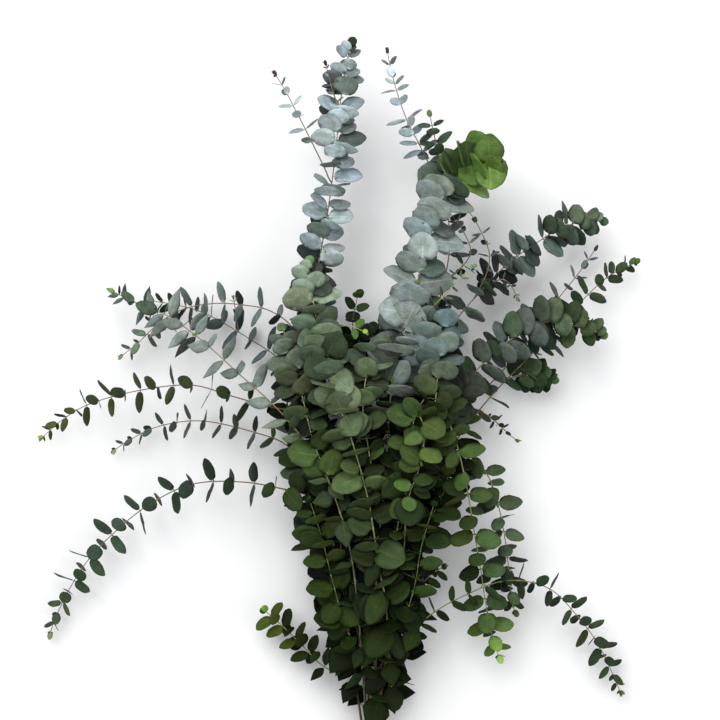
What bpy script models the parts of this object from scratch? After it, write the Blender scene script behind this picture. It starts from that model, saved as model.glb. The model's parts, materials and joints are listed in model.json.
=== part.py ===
"""A bunch of eucalyptus, laid flat: nineteen leafy stems, tied near their cut ends.

Every stem and side shoot follows its own route. Leaves grow from it in opposite pairs, each pair
turned a quarter against the last, and each leaf turns aside until it is clear of all that is there
already. A leafy stem with its shoots is one closed body. Routes start from a point under the tie,
in millimetres, and the finished bunch is moved so that the origin is the middle of its box at the
surface. +Y runs up the bunch and +Z is height.
"""

import math
import random
from dataclasses import dataclass

import bmesh
import bpy
import numpy as np
from mathutils import Vector
from mathutils.bvhtree import BVHTree
from mathutils.kdtree import KDTree

MM = 0.001
SEED = 11

# The bundle inside the tie
PITCH_X, PITCH_Z = 5.3, 5.9
STEM_HALF = 2.05
CUT_ENDS_Y = -92.0
BUNDLE_SPREAD = ((CUT_ENDS_Y, 1.12), (-40.0, 1.02), (-12.0, 1.0), (12.0, 1.0), (40.0, 1.35))
TIE_CENTRE_X = -4.0
TIE_INNER, TIE_OUTER, TIE_HALF_WIDTH = 16.75, 18.9, 5.0
TIE_SIDES = 24

# Stems and shoots
TIP_HALF = 0.62
SHOOT_HALF = 1.2
SIDES = 3
CORNER_REACH = 1.55  # of the section, over half the stem's width
CURVE_STEP = 7.0
BEND_TOLERANCE = 2.0
BUNDLE_TOLERANCE = 0.3
BARE_RING_TOLERANCE = 0.3
BUNDLE_REACH = 110.0  # above the tie
STEM_GAP = 3.0
PINNED_Y, FREE_Y = 12.0, 70.0

# Leaves
CLOSER_FROM = 190.0  # distance from the tip over which the pairs draw together
BLADE_THICKNESS = 0.7
PETIOLE = 1.6
CLEARANCE = 0.95
OWN_CLEARANCE = 0.2  # from the stem it grows on
ROOT_OFF = 0.2
FLOOR_GAP = 0.02
SMALLEST_LEAF = 7.0
SIGHT_POINTS = ((0.25, 0.0), (0.55, 0.5), (0.55, -0.5), (0.9, 0.0))
SIGHT_WAYS = (  # directions towards who looks, and how much each counts
    (Vector((0, 0, 1)), 0.7),
    (Vector((0.87, 0, 0.5)), 0.1),
    (Vector((-0.87, 0, 0.5)), 0.1),
    (Vector((0, -0.87, 0.5)), 0.1),
)
LEAST_SIGHT = 0.28
OUTLINES = (  # from which leaf length on, and the corners along one side from base to tip
    (27.0, ((0.16, 0.86), (0.66, 0.94), (1.0, 0.0))),
    (16.0, ((0.26, 0.96), (0.84, 0.66))),
    (0.0, ((0.45, 0.98), (1.0, 0.0))),
)

# Colours, linear
LEAF_COLOURS = {
    "stem_back": (0.16, 0.24, 0.15),
    "stem_fall_front": (0.20, 0.31, 0.19),
    "stem_fall_right": (0.18, 0.30, 0.16),
    "stem_fall_side": (0.19, 0.29, 0.20),
    "stem_front": (0.27, 0.38, 0.31),
    "stem_large_leaf": (0.37, 0.46, 0.46),
    "stem_left_arch": (0.35, 0.44, 0.44),
    "stem_left_back": (0.28, 0.37, 0.35),
    "stem_left_edge": (0.15, 0.24, 0.15),
    "stem_left_long": (0.20, 0.28, 0.20),
    "stem_left_low": (0.26, 0.35, 0.32),
    "stem_left_upper": (0.37, 0.46, 0.45),
    "stem_right_edge": (0.15, 0.24, 0.14),
    "stem_right_grey": (0.33, 0.43, 0.42),
    "stem_right_long": (0.20, 0.30, 0.22),
    "stem_right_thin": (0.30, 0.38, 0.38),
    "stem_right_upper": (0.28, 0.38, 0.35),
    "stem_tall": (0.40, 0.49, 0.49),
    "stem_top_thin": (0.36, 0.45, 0.46),
}
TWINE = (0.50, 0.39, 0.23)

UP = Vector((0, 0, 1))
TURN = 2 * math.pi / SIDES


@dataclass
class Sprig:
    """A stem or a side shoot, and how its leaves grow."""

    name: str
    slot: tuple = None  # column and row in the bundle, for a stem
    parent: str = None  # what a side shoot grows from
    points: tuple = ()  # what its route passes through
    leaf: float = 25.0  # length of its largest leaves
    broad: float = 0.8  # a leaf's width over its length
    face: float = 0.6  # how far its blades turn up
    spacing: float = 24.0  # between leaf pairs
    grown: float = 100.0  # how far from the tip leaves reach full size
    first: float = 60.0  # how far along it the first leaves grow
    full: float = 0.0  # how far along it no pair is left out


SPRIGS = (
    Sprig("stem_front", slot=(1, 2), leaf=33, broad=0.9, face=1.0, spacing=25, grown=45, first=45,
          full=60,
          points=((15, 100, 62), (12, 165, 88), (4, 210, 104), (-8, 285, 122), (-28, 358, 132),
                  (-46, 405, 134), (-58, 450, 132), (-68, 500, 126), (-76, 552, 118))),
    Sprig("stem_fall_front", slot=(2, 1), leaf=27, broad=0.85, face=0.9, spacing=23, grown=60, first=60,
          full=120,
          points=((25, 100, 50), (32, 210, 86), (36, 320, 126), (43, 378, 146), (52, 374, 152),
                  (53, 345, 150),
                  (46, 315, 146), (39, 297, 142), (31, 266, 136))),
    Sprig("stem_left_upper", slot=(-1, 2), leaf=31, broad=0.7, face=0.7, spacing=26, grown=80, first=40,
          full=60,
          points=((-15, 100, 58), (-24, 200, 92), (-36, 258, 106), (-60, 322, 114),
                  (-103, 380, 108), (-158, 430, 92), (-195, 463, 84), (-235, 492, 72), (-265, 504, 62),
                  (-303, 522, 50))),
    Sprig("stem_fall_right", slot=(1, 1), leaf=28, broad=0.8, face=0.8, spacing=26, grown=50, first=42,
          full=60,
          points=((13, 100, 46), (20, 200, 76), (26, 260, 96), (38, 350, 116), (54, 398, 126),
                  (72, 392, 128),
                  (90, 352, 120), (103, 300, 108), (112, 250, 94), (121, 200, 78), (128, 158, 62),
                  (136, 122, 48), (144, 98, 38))),
    Sprig("stem_left_long", slot=(-2, 1), leaf=24, broad=0.62, face=0.4, spacing=23, grown=90,
          first=120,
          full=330,
          points=((-26, 100, 46), (-38, 210, 76), (-40, 328, 102), (-48, 362, 106), (-75, 381, 102),
                  (-120, 390, 92), (-165, 402, 82), (-210, 414, 72), (-270, 408, 58), (-330, 392, 42),
                  (-365, 372, 32), (-388, 352, 24))),
    Sprig("stem_large_leaf", slot=(0, 2), leaf=40, broad=0.92, face=1.0, spacing=29, grown=30,
          first=200,
          full=250,
          points=((0, 100, 54), (2, 210, 82), (12, 320, 94), (18, 410, 104), (25, 445, 108),
                  (33, 480, 110),
                  (42, 512, 110), (52, 548, 108), (60, 575, 106), (72, 612, 104), (92, 645, 102),
                  (118, 668, 100), (136, 682, 96))),
    Sprig("stem_tall", slot=(-1, 1), leaf=30, broad=0.85, face=0.8, spacing=25, grown=60, first=130,
          full=290,
          points=((-14, 100, 42), (-42, 210, 58), (-72, 290, 64), (-88, 400, 70), (-84, 455, 74),
                  (-66, 545, 80), (-55, 605, 82), (-48, 655, 84), (-43, 700, 86), (-37, 755, 86),
                  (-28, 803, 84))),
    Sprig("stem_fall_side", slot=(1, 0), leaf=25, broad=0.78, face=0.6, spacing=23, grown=50, first=130,
          full=250,
          points=((20, 100, 34), (40, 210, 62), (68, 300, 84), (92, 334, 90), (110, 333, 88),
                  (128, 312, 82),
                  (140, 280, 74), (147, 250, 66), (152, 220, 58), (156, 185, 48), (158, 165, 42),
                  (163, 150, 38))),
    Sprig("stem_right_grey", slot=(0, 0), leaf=33, broad=0.75, face=0.8, spacing=26, grown=60,
          first=180,
          full=300,
          points=((10, 100, 30), (26, 210, 48), (58, 330, 68), (86, 402, 82), (108, 424, 86),
                  (140, 455, 86),
                  (168, 474, 82), (200, 487, 76), (232, 481, 66), (262, 472, 56))),
    Sprig("stem_right_upper", slot=(0, -1), leaf=28, broad=0.85, face=0.7, spacing=25, grown=45,
          first=240,
          full=430,
          points=((6, 100, 18), (18, 210, 28), (46, 340, 42), (66, 430, 50), (90, 483, 56),
                  (120, 520, 60),
                  (152, 553, 62), (185, 577, 62), (215, 595, 58), (242, 603, 52), (262, 604, 46))),
    Sprig("stem_right_long", slot=(1, -1), leaf=26, broad=0.7, face=0.5, spacing=24, grown=90,
          first=240,
          full=340,
          points=((18, 100, 18), (38, 210, 30), (84, 330, 48), (112, 374, 54), (138, 406, 58),
                  (168, 437, 60),
                  (198, 468, 58), (230, 502, 52), (262, 533, 44), (285, 548, 36), (304, 556, 30))),
    Sprig("stem_top_thin", slot=(0, 1), leaf=22, broad=0.6, face=0.6, spacing=27, grown=90, first=300,
          full=560,
          points=((2, 100, 38), (8, 210, 56), (28, 330, 58), (52, 430, 60), (76, 520, 62),
                  (86, 575, 64),
                  (80, 625, 68), (66, 658, 72), (50, 690, 76), (37, 715, 78), (26, 745, 80),
                  (18, 775, 78),
                  (14, 796, 76))),
    Sprig("stem_left_arch", slot=(-1, -1), leaf=25, broad=0.62, face=0.5, spacing=24, grown=80,
          first=280,
          full=460,
          points=((-14, 100, 16), (-34, 210, 26), (-62, 340, 36), (-78, 430, 44), (-94, 478, 50),
                  (-120, 499, 54), (-150, 506, 54), (-185, 508, 52), (-220, 502, 46), (-250, 486, 38),
                  (-275, 463, 30), (-296, 447, 24))),
    Sprig("stem_left_low", slot=(-2, -1), leaf=22, broad=0.6, face=0.45, spacing=23, grown=110,
          first=240,
          full=330,
          points=((-24, 100, 18), (-46, 210, 28), (-72, 300, 34), (-100, 342, 38), (-140, 359, 40),
                  (-200, 372, 38), (-250, 366, 32), (-285, 350, 24), (-305, 337, 18))),
    Sprig("stem_right_thin", slot=(0.5, -2.15), leaf=22, broad=0.6, face=0.45, spacing=24, grown=90,
          first=260,
          full=460,
          points=((8, 100, 9), (26, 210, 12), (72, 320, 13), (108, 385, 13), (145, 425, 15),
                  (180, 465, 20),
                  (205, 503, 26), (235, 541, 30), (257, 572, 30))),
    Sprig("stem_left_back", slot=(-0.5, -2.15), leaf=27, broad=0.65, face=0.5, spacing=25, grown=70,
          first=260,
          full=430,
          points=((-6, 100, 9), (-22, 210, 12), (-60, 340, 14), (-88, 420, 20), (-115, 447, 26),
                  (-150, 470, 32), (-180, 488, 36), (-205, 500, 36), (-232, 507, 32), (-262, 512, 26))),
    Sprig("stem_left_edge", slot=(-2, 0), leaf=31, broad=0.85, face=0.9, spacing=25, grown=40, first=50,
          full=90,
          points=((-28, 100, 30), (-57, 210, 44), (-70, 258, 46), (-80, 310, 46), (-92, 370, 52),
                  (-98, 424, 56))),
    Sprig("stem_right_edge", slot=(2, 0), leaf=31, broad=0.85, face=0.9, spacing=25, grown=40, first=45,
          full=70,
          points=((30, 100, 34), (49, 210, 50), (60, 250, 56), (74, 290, 62), (92, 350, 66),
                  (104, 388, 66))),
    Sprig("stem_back", slot=(-1, 0), leaf=31, broad=0.9, face=1.0, spacing=27, grown=60, first=180,
          full=260,
          points=((-10, 100, 28), (-14, 210, 40), (-18, 330, 46), (-22, 430, 50), (-26, 480, 54),
                  (-20, 517, 58))),
    Sprig("shoot_mid_front", parent="stem_large_leaf", leaf=31, broad=0.95, face=1.0, spacing=24,
          grown=30,
          first=24,
          points=((7, 262, 88), (0, 300, 108), (-8, 345, 120), (-14, 390, 124), (-8, 440, 122),
                  (-2, 478, 118))),
    Sprig("shoot_mid_left", parent="stem_left_upper", leaf=31, broad=0.9, face=1.0, spacing=24,
          grown=30,
          first=24,
          points=((-54, 310, 112), (-70, 352, 118), (-82, 400, 112), (-96, 446, 102), (-104, 478, 94))),
    Sprig("shoot_mid_right", parent="stem_fall_right", leaf=31, broad=0.9, face=1.0, spacing=24,
          grown=30,
          first=24,
          points=((32, 308, 108), (54, 350, 132), (66, 392, 138), (70, 436, 132), (74, 474, 122),
                  (66, 506, 112))),
    Sprig("shoot_low_left", parent="stem_left_upper", leaf=30, broad=0.9, face=1.0, spacing=24,
          grown=30,
          first=20,
          points=((-14, 92, 56), (-34, 140, 76), (-48, 190, 92), (-60, 240, 100), (-74, 284, 102))),
    Sprig("shoot_low_mid", parent="stem_fall_right", leaf=29, broad=0.9, face=1.0, spacing=24, grown=30,
          first=20,
          points=((12, 96, 45), (30, 138, 70), (44, 184, 96), (52, 232, 106), (66, 280, 110))),
    Sprig("shoot_low_right", parent="stem_fall_side", leaf=29, broad=0.9, face=1.0, spacing=23,
          grown=30,
          first=24,
          points=((47, 235, 68), (66, 268, 84), (80, 300, 98), (86, 338, 104))),
    Sprig("shoot_left_arc", parent="stem_tall", leaf=25, broad=0.7, face=0.4, spacing=24, grown=90,
          first=35,
          points=((-71, 288, 64), (-95, 294, 74), (-150, 303, 68), (-210, 300, 60), (-262, 275, 50),
                  (-305, 240, 42), (-335, 208, 34), (-358, 172, 26), (-375, 137, 18), (-380, 122, 14))),
    Sprig("shoot_top_left", parent="stem_tall", leaf=19, broad=0.55, face=0.5, spacing=24, grown=70,
          first=38,
          points=((-50, 645, 84), (-66, 678, 90), (-85, 716, 92), (-104, 752, 90), (-114, 768, 88))),
    Sprig("shoot_right_arc", parent="stem_front", leaf=22, broad=0.58, face=0.45, spacing=21, grown=60,
          first=28,
          points=((15, 102, 63), (40, 130, 74), (65, 153, 80), (100, 173, 80), (150, 190, 70),
                  (200, 180, 58),
                  (237, 143, 46), (262, 108, 34), (284, 62, 20), (287, 54, 18))),
    Sprig("shoot_pale_twig", parent="stem_front", leaf=15, broad=0.85, face=1.2, spacing=16, grown=20,
          first=44,
          points=((-62, 468, 129), (-45, 478, 138), (-28, 480, 142), (-12, 474, 142))),
    Sprig("shoot_top_right", parent="stem_large_leaf", leaf=20, broad=0.75, face=0.6, spacing=20,
          grown=25,
          first=30,
          points=((86, 638, 102), (77, 664, 90), (69, 692, 88), (62, 722, 88))),
    Sprig("shoot_right_cluster", parent="stem_right_long", leaf=24, broad=0.9, face=0.9, spacing=15,
          grown=25,
          first=16,
          points=((150, 418, 59), (166, 423, 48), (186, 426, 40), (206, 419, 34))),
    Sprig("shoot_right_tiny", parent="stem_right_long", leaf=11, broad=0.55, face=0.6, spacing=12,
          grown=40,
          first=14,
          points=((122, 386, 55), (133, 380, 48), (144, 370, 42), (155, 358, 38), (164, 350, 36))),
    Sprig("shoot_left_base", parent="stem_left_edge", leaf=21, broad=0.78, face=0.8, spacing=17,
          grown=12,
          first=26,
          points=((-22, 78, 26), (-44, 82, 32), (-62, 90, 34), (-82, 110, 36), (-106, 133, 36),
                  (-128, 152, 36))),
    Sprig("shoot_right_base", parent="stem_right_edge", leaf=16, broad=0.7, face=0.8, spacing=13,
          grown=12,
          first=12,
          points=((41, 168, 44), (53, 184, 52), (65, 197, 58), (79, 205, 60))),
)


def smooth_route(points, step=CURVE_STEP):
    """Points at even steps along one smooth curve through the route's own points."""
    p = np.array(points, float)
    p = np.vstack([2 * p[0] - p[1], p, 2 * p[-1] - p[-2]])
    fine = []
    for a, b, c, d in zip(p, p[1:], p[2:], p[3:]):
        for t in np.linspace(0, 1, 12, endpoint=False):
            fine.append(0.5 * (2 * b + (c - a) * t + (2 * a - 5 * b + 4 * c - d) * t**2
                               + (3 * b - a - 3 * c + d) * t**3))
    fine = np.array([*fine, p[-2]])
    along = np.r_[0, np.cumsum(np.linalg.norm(np.diff(fine, axis=0), axis=1))]
    even = np.linspace(0, along[-1], max(3, round(along[-1] / step) + 1))
    return np.column_stack([np.interp(even, along, fine[:, i]) for i in range(3)])


def bundle_place(slot, y, spread=1.0):
    """Where a stem runs past height y inside the bundle."""
    return (TIE_CENTRE_X + slot[0] * PITCH_X * spread, y, TIE_OUTER + slot[1] * PITCH_Z * spread)


def route_of(sprig):
    """A sprig's own points, with the stretch through the tie before those of a stem."""
    if sprig.parent:
        return sprig.points
    return (*(bundle_place(sprig.slot, y, spread) for y, spread in BUNDLE_SPREAD), *sprig.points)


class Curve:
    """The centreline of a sprig, read by distance along it."""

    def __init__(self, sprig, points):
        self.sprig = sprig
        self.points = points
        self.root_index = None  # a shoot's place on its parent's curve

    def measure(self):
        """Distances along the curve, once its points are settled."""
        self.along = np.r_[0, np.cumsum(np.linalg.norm(np.diff(self.points, axis=0), axis=1))]
        self.length = float(self.along[-1])

    def at(self, s):
        """The point at distance s."""
        return Vector([float(np.interp(s, self.along, self.points[:, i])) for i in range(3)])

    def frame(self, s):
        """Tangent, the level direction across it, and the one that completes them."""
        tangent = (self.at(min(s + 4, self.length)) - self.at(max(s - 4, 0))).normalized()
        across = tangent.cross(UP).normalized()
        return tangent, across, across.cross(tangent)

    def half(self, s):
        """Half the stem's width at distance s, from its base to its tip."""
        base = SHOOT_HALF if self.sprig.parent else STEM_HALF
        start = 0 if self.sprig.parent else -CUT_ENDS_Y
        share = min(1.0, max(0.0, (s - start) / (self.length - start)))
        return base + (TIP_HALF - base) * share**0.7


def root_on(parent, point):
    """The index of the parent's curve point nearest to a shoot's first point."""
    return int(np.linalg.norm(parent.points - np.array(point, float), axis=1).argmin())


def ease_apart(curves):
    """Moves the curves' points a little until no two stems are too near."""
    named = {c.sprig.name: c for c in curves}
    owner = np.concatenate([[k] * len(c.points) for k, c in enumerate(curves)])
    start = np.concatenate([c.points for c in curves])
    first = np.cumsum([0] + [len(c.points) for c in curves])
    halves = np.concatenate([[c.half(s) for s in c.along] for c in curves])
    free = np.clip((start[:, 1] - PINNED_Y) / (FREE_Y - PINNED_Y), 0, 1)
    parents = {}
    for k, c in enumerate(curves):
        if c.sprig.parent:
            parents[k] = curves.index(named[c.sprig.parent])
    shift = np.zeros_like(start)
    for _ in range(90):
        now = start + shift
        tree = KDTree(len(now))
        for i, p in enumerate(now):
            tree.insert(p, i)
        tree.balance()
        push = np.zeros_like(now)
        for i, p in enumerate(now):
            if free[i] == 0:
                continue
            for q, j, distance in tree.find_range(p, 12.0):
                if owner[i] == owner[j] or joined(i, j, owner, first, parents, curves):
                    continue
                need = halves[i] * 1.3 + halves[j] * 1.3 + STEM_GAP * free[i]
                if distance >= need:
                    continue
                away = p - np.array(q)
                if distance < 0.5:
                    away = np.array([0, 0, 1.0 if start[i][2] > start[j][2] else -1.0])
                push[i] += away / max(np.linalg.norm(away), 0.5) * (need - distance) * 0.4
        shift += push * free[:, None]
        for k, c in enumerate(curves):
            a, b = first[k], first[k + 1]
            part = shift[a:b].copy()
            part[1:-1] = part[1:-1] * 0.4 + (part[:-2] + part[2:]) * 0.3
            shift[a:b] = part * free[a:b, None]
            if k in parents:
                root = first[parents[k]] + c.root_index
                gap = start[root] + shift[root] - (start[a] + shift[a])
                fade = np.clip(1 - c.along / 60, 0, 1)
                shift[a:b] += gap * fade[:, None]
        least = halves * CORNER_REACH + 1.0
        low = start[:, 2] + shift[:, 2] < least
        shift[low, 2] = least[low] - start[low, 2]
    for k, c in enumerate(curves):
        c.points = (start + shift)[first[k]:first[k + 1]]


def lift_off(child, mother):
    """Bends the first stretch of a shoot away from its mother, so that they don't run into each other."""
    s = float(mother.along[child.root_index])
    tangent, _, _ = mother.frame(s)
    root = mother.at(s)
    away = child.at(30) - root
    away = (away - tangent * away.dot(tangent)).normalized()
    reach = (mother.half(s) + child.half(0)) * CORNER_REACH + 1.6
    for k, (point, along) in enumerate(zip(child.points, child.along)):
        if along > 60:
            break
        p = Vector(point)
        ahead = mother.at(min(mother.length, s + (p - root).dot(tangent)))
        short = reach * min(1.0, along / 6.5) - (p - ahead).dot(away)
        if short > 0:
            child.points[k] = p + away * short


def joined(i, j, owner, first, parents, curves):
    """True where one point is on a shoot near its root and the other on its parent."""
    for a, b in ((i, j), (j, i)):
        if parents.get(owner[a]) == owner[b]:
            return curves[owner[a]].along[a - first[owner[a]]] < 22
    return False


@dataclass
class Leaf:
    """One blade: where it grows, its three directions and its shape."""

    root: Vector
    along: Vector
    across: Vector
    normal: Vector
    length: float
    width: float
    curl: float
    cup: float
    corners: tuple = ()  # of the stem's side that it grows from

    def point(self, x, y, lift=0.0):
        """A point of the blade: x from 0 at its base to 1 at its tip, y from -1 to 1 across it."""
        height = -self.curl * self.length * x * x + self.cup * self.width * y * y * x
        return (self.root + self.along * (PETIOLE + x * self.length) + self.across * (y * self.width / 2)
                + self.normal * (height + lift))

    def outline(self):
        """The corners of the blade's edge, from its base on one side round to the other."""
        side = next(side for least, side in OUTLINES if self.length >= least)
        return [*((x, -y) for x, y in side), *((x, y) for x, y in reversed(side) if y > 0)]

    def root_corners(self):
        """The corners it grows from, turned so that the blade twists least."""
        edge = self.outline()
        half = BLADE_THICKNESS / 2
        ends = [self.point(*edge[0], -half), self.point(*edge[-1], -half), self.point(*edge[-1], half),
                self.point(*edge[0], half)]
        turned = [[self.corners[(i + t) % 4] for i in range(4)] for t in range(4)]
        return min(turned, key=lambda corners: sum((a - b).length for a, b in zip(corners, ends)))

    def body(self, off=0.0):
        """Points and faces of the blade with its open root, which off moves out from the stem."""
        edge, half = self.outline(), BLADE_THICKNESS / 2
        root = self.root_corners()
        towards = [self.point(0, -0.3, -half), self.point(0, 0.3, -half), self.point(0, 0.3, half),
                   self.point(0, -0.3, half)]
        root = [a.lerp(b, off) for a, b in zip(root, towards)]
        over = [root[3], *(self.point(x, y, half) for x, y in edge), root[2]]
        under = [root[0], *(self.point(x, y, -half) for x, y in edge), root[1]]
        n = len(over)
        faces = [(a, c, b) for a, b, c in ladder(n)]
        faces += [(a + n, b + n, c + n) for a, b, c in ladder(n)]
        faces += [(k + n, k, k + 1, k + 1 + n) for k in range(n - 1)]
        return over + under, faces

    def is_sound(self):
        """True if the blade nowhere cuts through itself."""
        points, faces = self.body()
        tree = BVHTree.FromPolygons(points, faces)
        return not any(not set(faces[a]) & set(faces[b]) for a, b in tree.overlap(tree))

    def hull(self, lift, grow=1.0):
        """The blade as a thin closed body, for telling what it would touch."""
        edge = [(0.0, -0.12), *self.outline(), (0.0, 0.12)]
        top = [self.point(x, y * grow, lift) for x, y in edge]
        bottom = [self.point(x, y * grow, -lift) for x, y in edge]
        n = len(edge)
        faces = [(a, b, c) for a, b, c in ladder(n)]
        faces += [(a + n, c + n, b + n) for a, b, c in ladder(n)]
        faces += [(i, (i + 1) % n, (i + 1) % n + n, i + n) for i in range(n)]
        return top + bottom, faces


def ladder(n):
    """Triangles over a ring of n points, rung by rung from its open end to its far end."""
    low, high, found = 0, n - 1, []
    while high - low > 1:
        found.append((low, low + 1, high))
        low += 1
        if high - low > 1:
            found.append((low, high - 1, high))
            high -= 1
    return found


class Crowd:
    """All that is placed so far, so that what comes next stays clear of it."""

    def __init__(self):
        self.tubes = []
        self.leaves = []
        self.cells = {}

    def add_tube(self, name, rings):
        points = [p for ring in rings for p in ring]
        faces = []
        for k in range(len(rings) - 1):
            low, high = SIDES * k, SIDES * (k + 1)
            for i in range(SIDES):
                j = (i + 1) % SIDES
                faces.append((low + i, low + j, high + j, high + i))
        self.tubes.append((name, BVHTree.FromPolygons(points, faces)))

    def cells_of(self, leaf):
        """The grid cells that a leaf reaches."""
        cell, reach = 40.0, leaf.length * 0.75
        c = leaf.point(0.5, 0)
        spans = [range(math.floor((v - reach) / cell), math.floor((v + reach) / cell) + 1) for v in c]
        return [(i, j, k) for i in spans[0] for j in spans[1] for k in spans[2]]

    def clear(self, leaf, own):
        """True if the leaf touches nothing, with room to spare."""
        wide = BVHTree.FromPolygons(*leaf.hull(BLADE_THICKNESS / 2 + CLEARANCE, 1.06))
        for name, tube in self.tubes:
            if name != own and wide.overlap(tube):
                return False
        if not leaf.is_sound():
            return False
        for body in (leaf.body(ROOT_OFF), leaf.hull(BLADE_THICKNESS / 2 + OWN_CLEARANCE)):
            real = BVHTree.FromPolygons(*body)
            if any(name == own and real.overlap(tube) for name, tube in self.tubes):
                return False
        wide_root = BVHTree.FromPolygons(*leaf.body())
        if any(name != own and wide_root.overlap(tube) for name, tube in self.tubes):
            return False
        near = sorted({k for cell in self.cells_of(leaf) for k in self.cells.get(cell, ())})
        return not any(tree.overlap(self.leaves[k]) for k in near for tree in (wide, wide_root))

    def add_leaf(self, leaf):
        self.leaves.append(BVHTree.FromPolygons(*leaf.body()))
        for cell in self.cells_of(leaf):
            self.cells.setdefault(cell, []).append(len(self.leaves) - 1)


def pair_distances(curve):
    """Where leaf pairs grow: close together at the tip and at the sprig's own spacing below."""
    sprig = curve.sprig
    start = sprig.first - (0 if sprig.parent else CUT_ENDS_Y)
    found, s = [], curve.length - 3.0
    while s > start:
        found.append(s)
        s -= sprig.spacing * min(1.0, 0.5 + 0.5 * (curve.length - s) / CLOSER_FROM)
    return found[::-1]


def is_kept(curve, s, index):
    """True for a pair of the source; low down inside the bunch only each third pair is."""
    full = curve.sprig.full - (0 if curve.sprig.parent else CUT_ENDS_Y)
    return s >= full or index % 3 == 0


def grown_leaf(curve, s, roll, corners, draw, nudge=0.0, scale=1.0):
    """A leaf on the curve at distance s, turned to the angle roll round the stem."""
    sprig = curve.sprig
    from_tip = curve.length - s
    age = min(1.0, 0.3 + 0.7 * (from_tip / sprig.grown) ** 0.8)
    tangent, across, over = curve.frame(s)
    roll += nudge * draw.uniform(-0.6, 0.6)
    radial = across * math.cos(roll) + over * math.sin(roll)
    lean = math.radians(72 if age > 0.7 else 50)
    lean += draw.uniform(-0.2, 0.2) + nudge * draw.uniform(-0.45, 0.3)
    along = tangent * math.cos(lean) + radial * math.sin(lean)
    along.z *= 1 - 0.55 * sprig.face * draw.uniform(0.4, 1.2)
    along.normalize()
    normal = (tangent * math.sin(lean) - radial * math.cos(lean)).normalized()
    normal = (normal - along * normal.dot(along)).normalized()
    upward = UP - along * UP.dot(along)
    turn = 1.0 if normal.dot(upward) >= -0.08 else -1.0
    if abs(normal.dot(upward)) < 0.3 and draw.random() < 0.2:
        turn = -turn
    face = sprig.face * draw.uniform(0.5, 1.4) * (1 + nudge * draw.uniform(-0.5, 0.5))
    normal = (normal + upward * turn * face).normalized()
    length = sprig.leaf * age * draw.uniform(0.86, 1.08) * scale
    width = length * sprig.broad * draw.uniform(0.92, 1.1)
    leaf = Leaf(curve.at(s) + radial * curve.half(s), along, normal.cross(along), normal, length, width,
                draw.uniform(-0.05, 0.14), draw.uniform(0.0, 0.1), corners)
    return pressed(leaf)


def lowest(leaf):
    """The blade's lowest height."""
    return min(leaf.point(x, y, -BLADE_THICKNESS / 2).z for x, y in [(0, 0), *leaf.outline()])


def pressed(leaf):
    """A leaf that would pass through the surface is laid over until it just touches it."""
    if lowest(leaf) >= FLOOR_GAP:
        return leaf
    level = Vector((leaf.along.x, leaf.along.y, 0.02)).normalized()
    facing = UP if leaf.normal.z >= 0 else -UP
    low, high, best = 0.0, 1.0, None
    for _ in range(12):
        share = (low + high) / 2
        along = leaf.along.lerp(level, share).normalized()
        normal = leaf.normal.lerp(facing, share)
        normal = (normal - along * normal.dot(along)).normalized()
        tried = Leaf(leaf.root, along, normal.cross(along), normal, leaf.length, leaf.width,
                     leaf.curl * (1 - share), leaf.cup * (1 - share), leaf.corners)
        if lowest(tried) >= FLOOR_GAP:
            high, best = share, tried
        else:
            low = share
    return best


def placed_leaf(crowd, curve, joint, which, draw):
    """The first way of growing a leaf here that touches nothing, or None."""
    roll = joint.roll + which * math.pi
    for attempt in range(14):
        nudge = min(1.0, attempt / 6)
        scale = 1.0 if attempt < 7 else 0.82
        leaf = grown_leaf(curve, joint.s, roll, joint.corners[which], draw, nudge, scale)
        if leaf is not None and leaf.length >= SMALLEST_LEAF and crowd.clear(leaf, curve.sprig.name):
            crowd.add_leaf(leaf)
            return leaf
    return None


@dataclass
class Joint:
    """A place along a stem: a plain bend, a leaf pair or the root of a shoot."""

    s: float
    kind: str  # "bend", "pair" or "shoot"
    depth: float = 0.0  # half its extent along the stem
    roll: float = 0.0
    leaves: tuple = ()
    corners: tuple = ()  # of the stem's sides that its leaves grow from
    shoot: object = None


def joints_of(curve, shoots):
    """The bends, leaf pairs and shoots of a stem in order, with room between them."""
    draw = random.Random(f"{SEED} {curve.sprig.name}")
    found = []
    for child in shoots:
        s = float(curve.along[child.root_index])
        tangent, across, over = curve.frame(s)
        way = child.at(14) - child.at(0)
        roll = math.atan2(way.dot(over), way.dot(across))
        found.append(Joint(s, "shoot", SHOOT_HALF, roll, shoot=child))
    roll = draw.uniform(-0.35, 0.35)
    for index, s in enumerate(reversed(pair_distances(curve))):
        roll += math.pi / 2 + draw.uniform(-0.18, 0.22)
        depth = min(0.9, curve.half(s) * 0.55)
        for other in found:
            if other.kind == "shoot" and abs(other.s - s) < 5:
                s = other.s - SHOOT_HALF - depth - 1.2
        if is_kept(curve, s, index):
            found.append(Joint(s, "pair", depth, roll))
    return sorted(found, key=lambda joint: joint.s)


def bend_between(curve, a, b):
    """The bends that a stretch of stem needs to follow its curve."""
    worst, where = 0.0, None
    for k in range(1, 8):
        s = a + (b - a) * k / 8
        off = (curve.at(s) - curve.at(a).lerp(curve.at(b), k / 8)).length
        if off > worst:
            worst, where = off, s
    in_bundle = not curve.sprig.parent and a < BUNDLE_REACH - CUT_ENDS_Y
    if worst < (BUNDLE_TOLERANCE if in_bundle else BEND_TOLERANCE):
        return []
    return [*bend_between(curve, a, where), Joint(where, "bend"), *bend_between(curve, where, b)]


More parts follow.
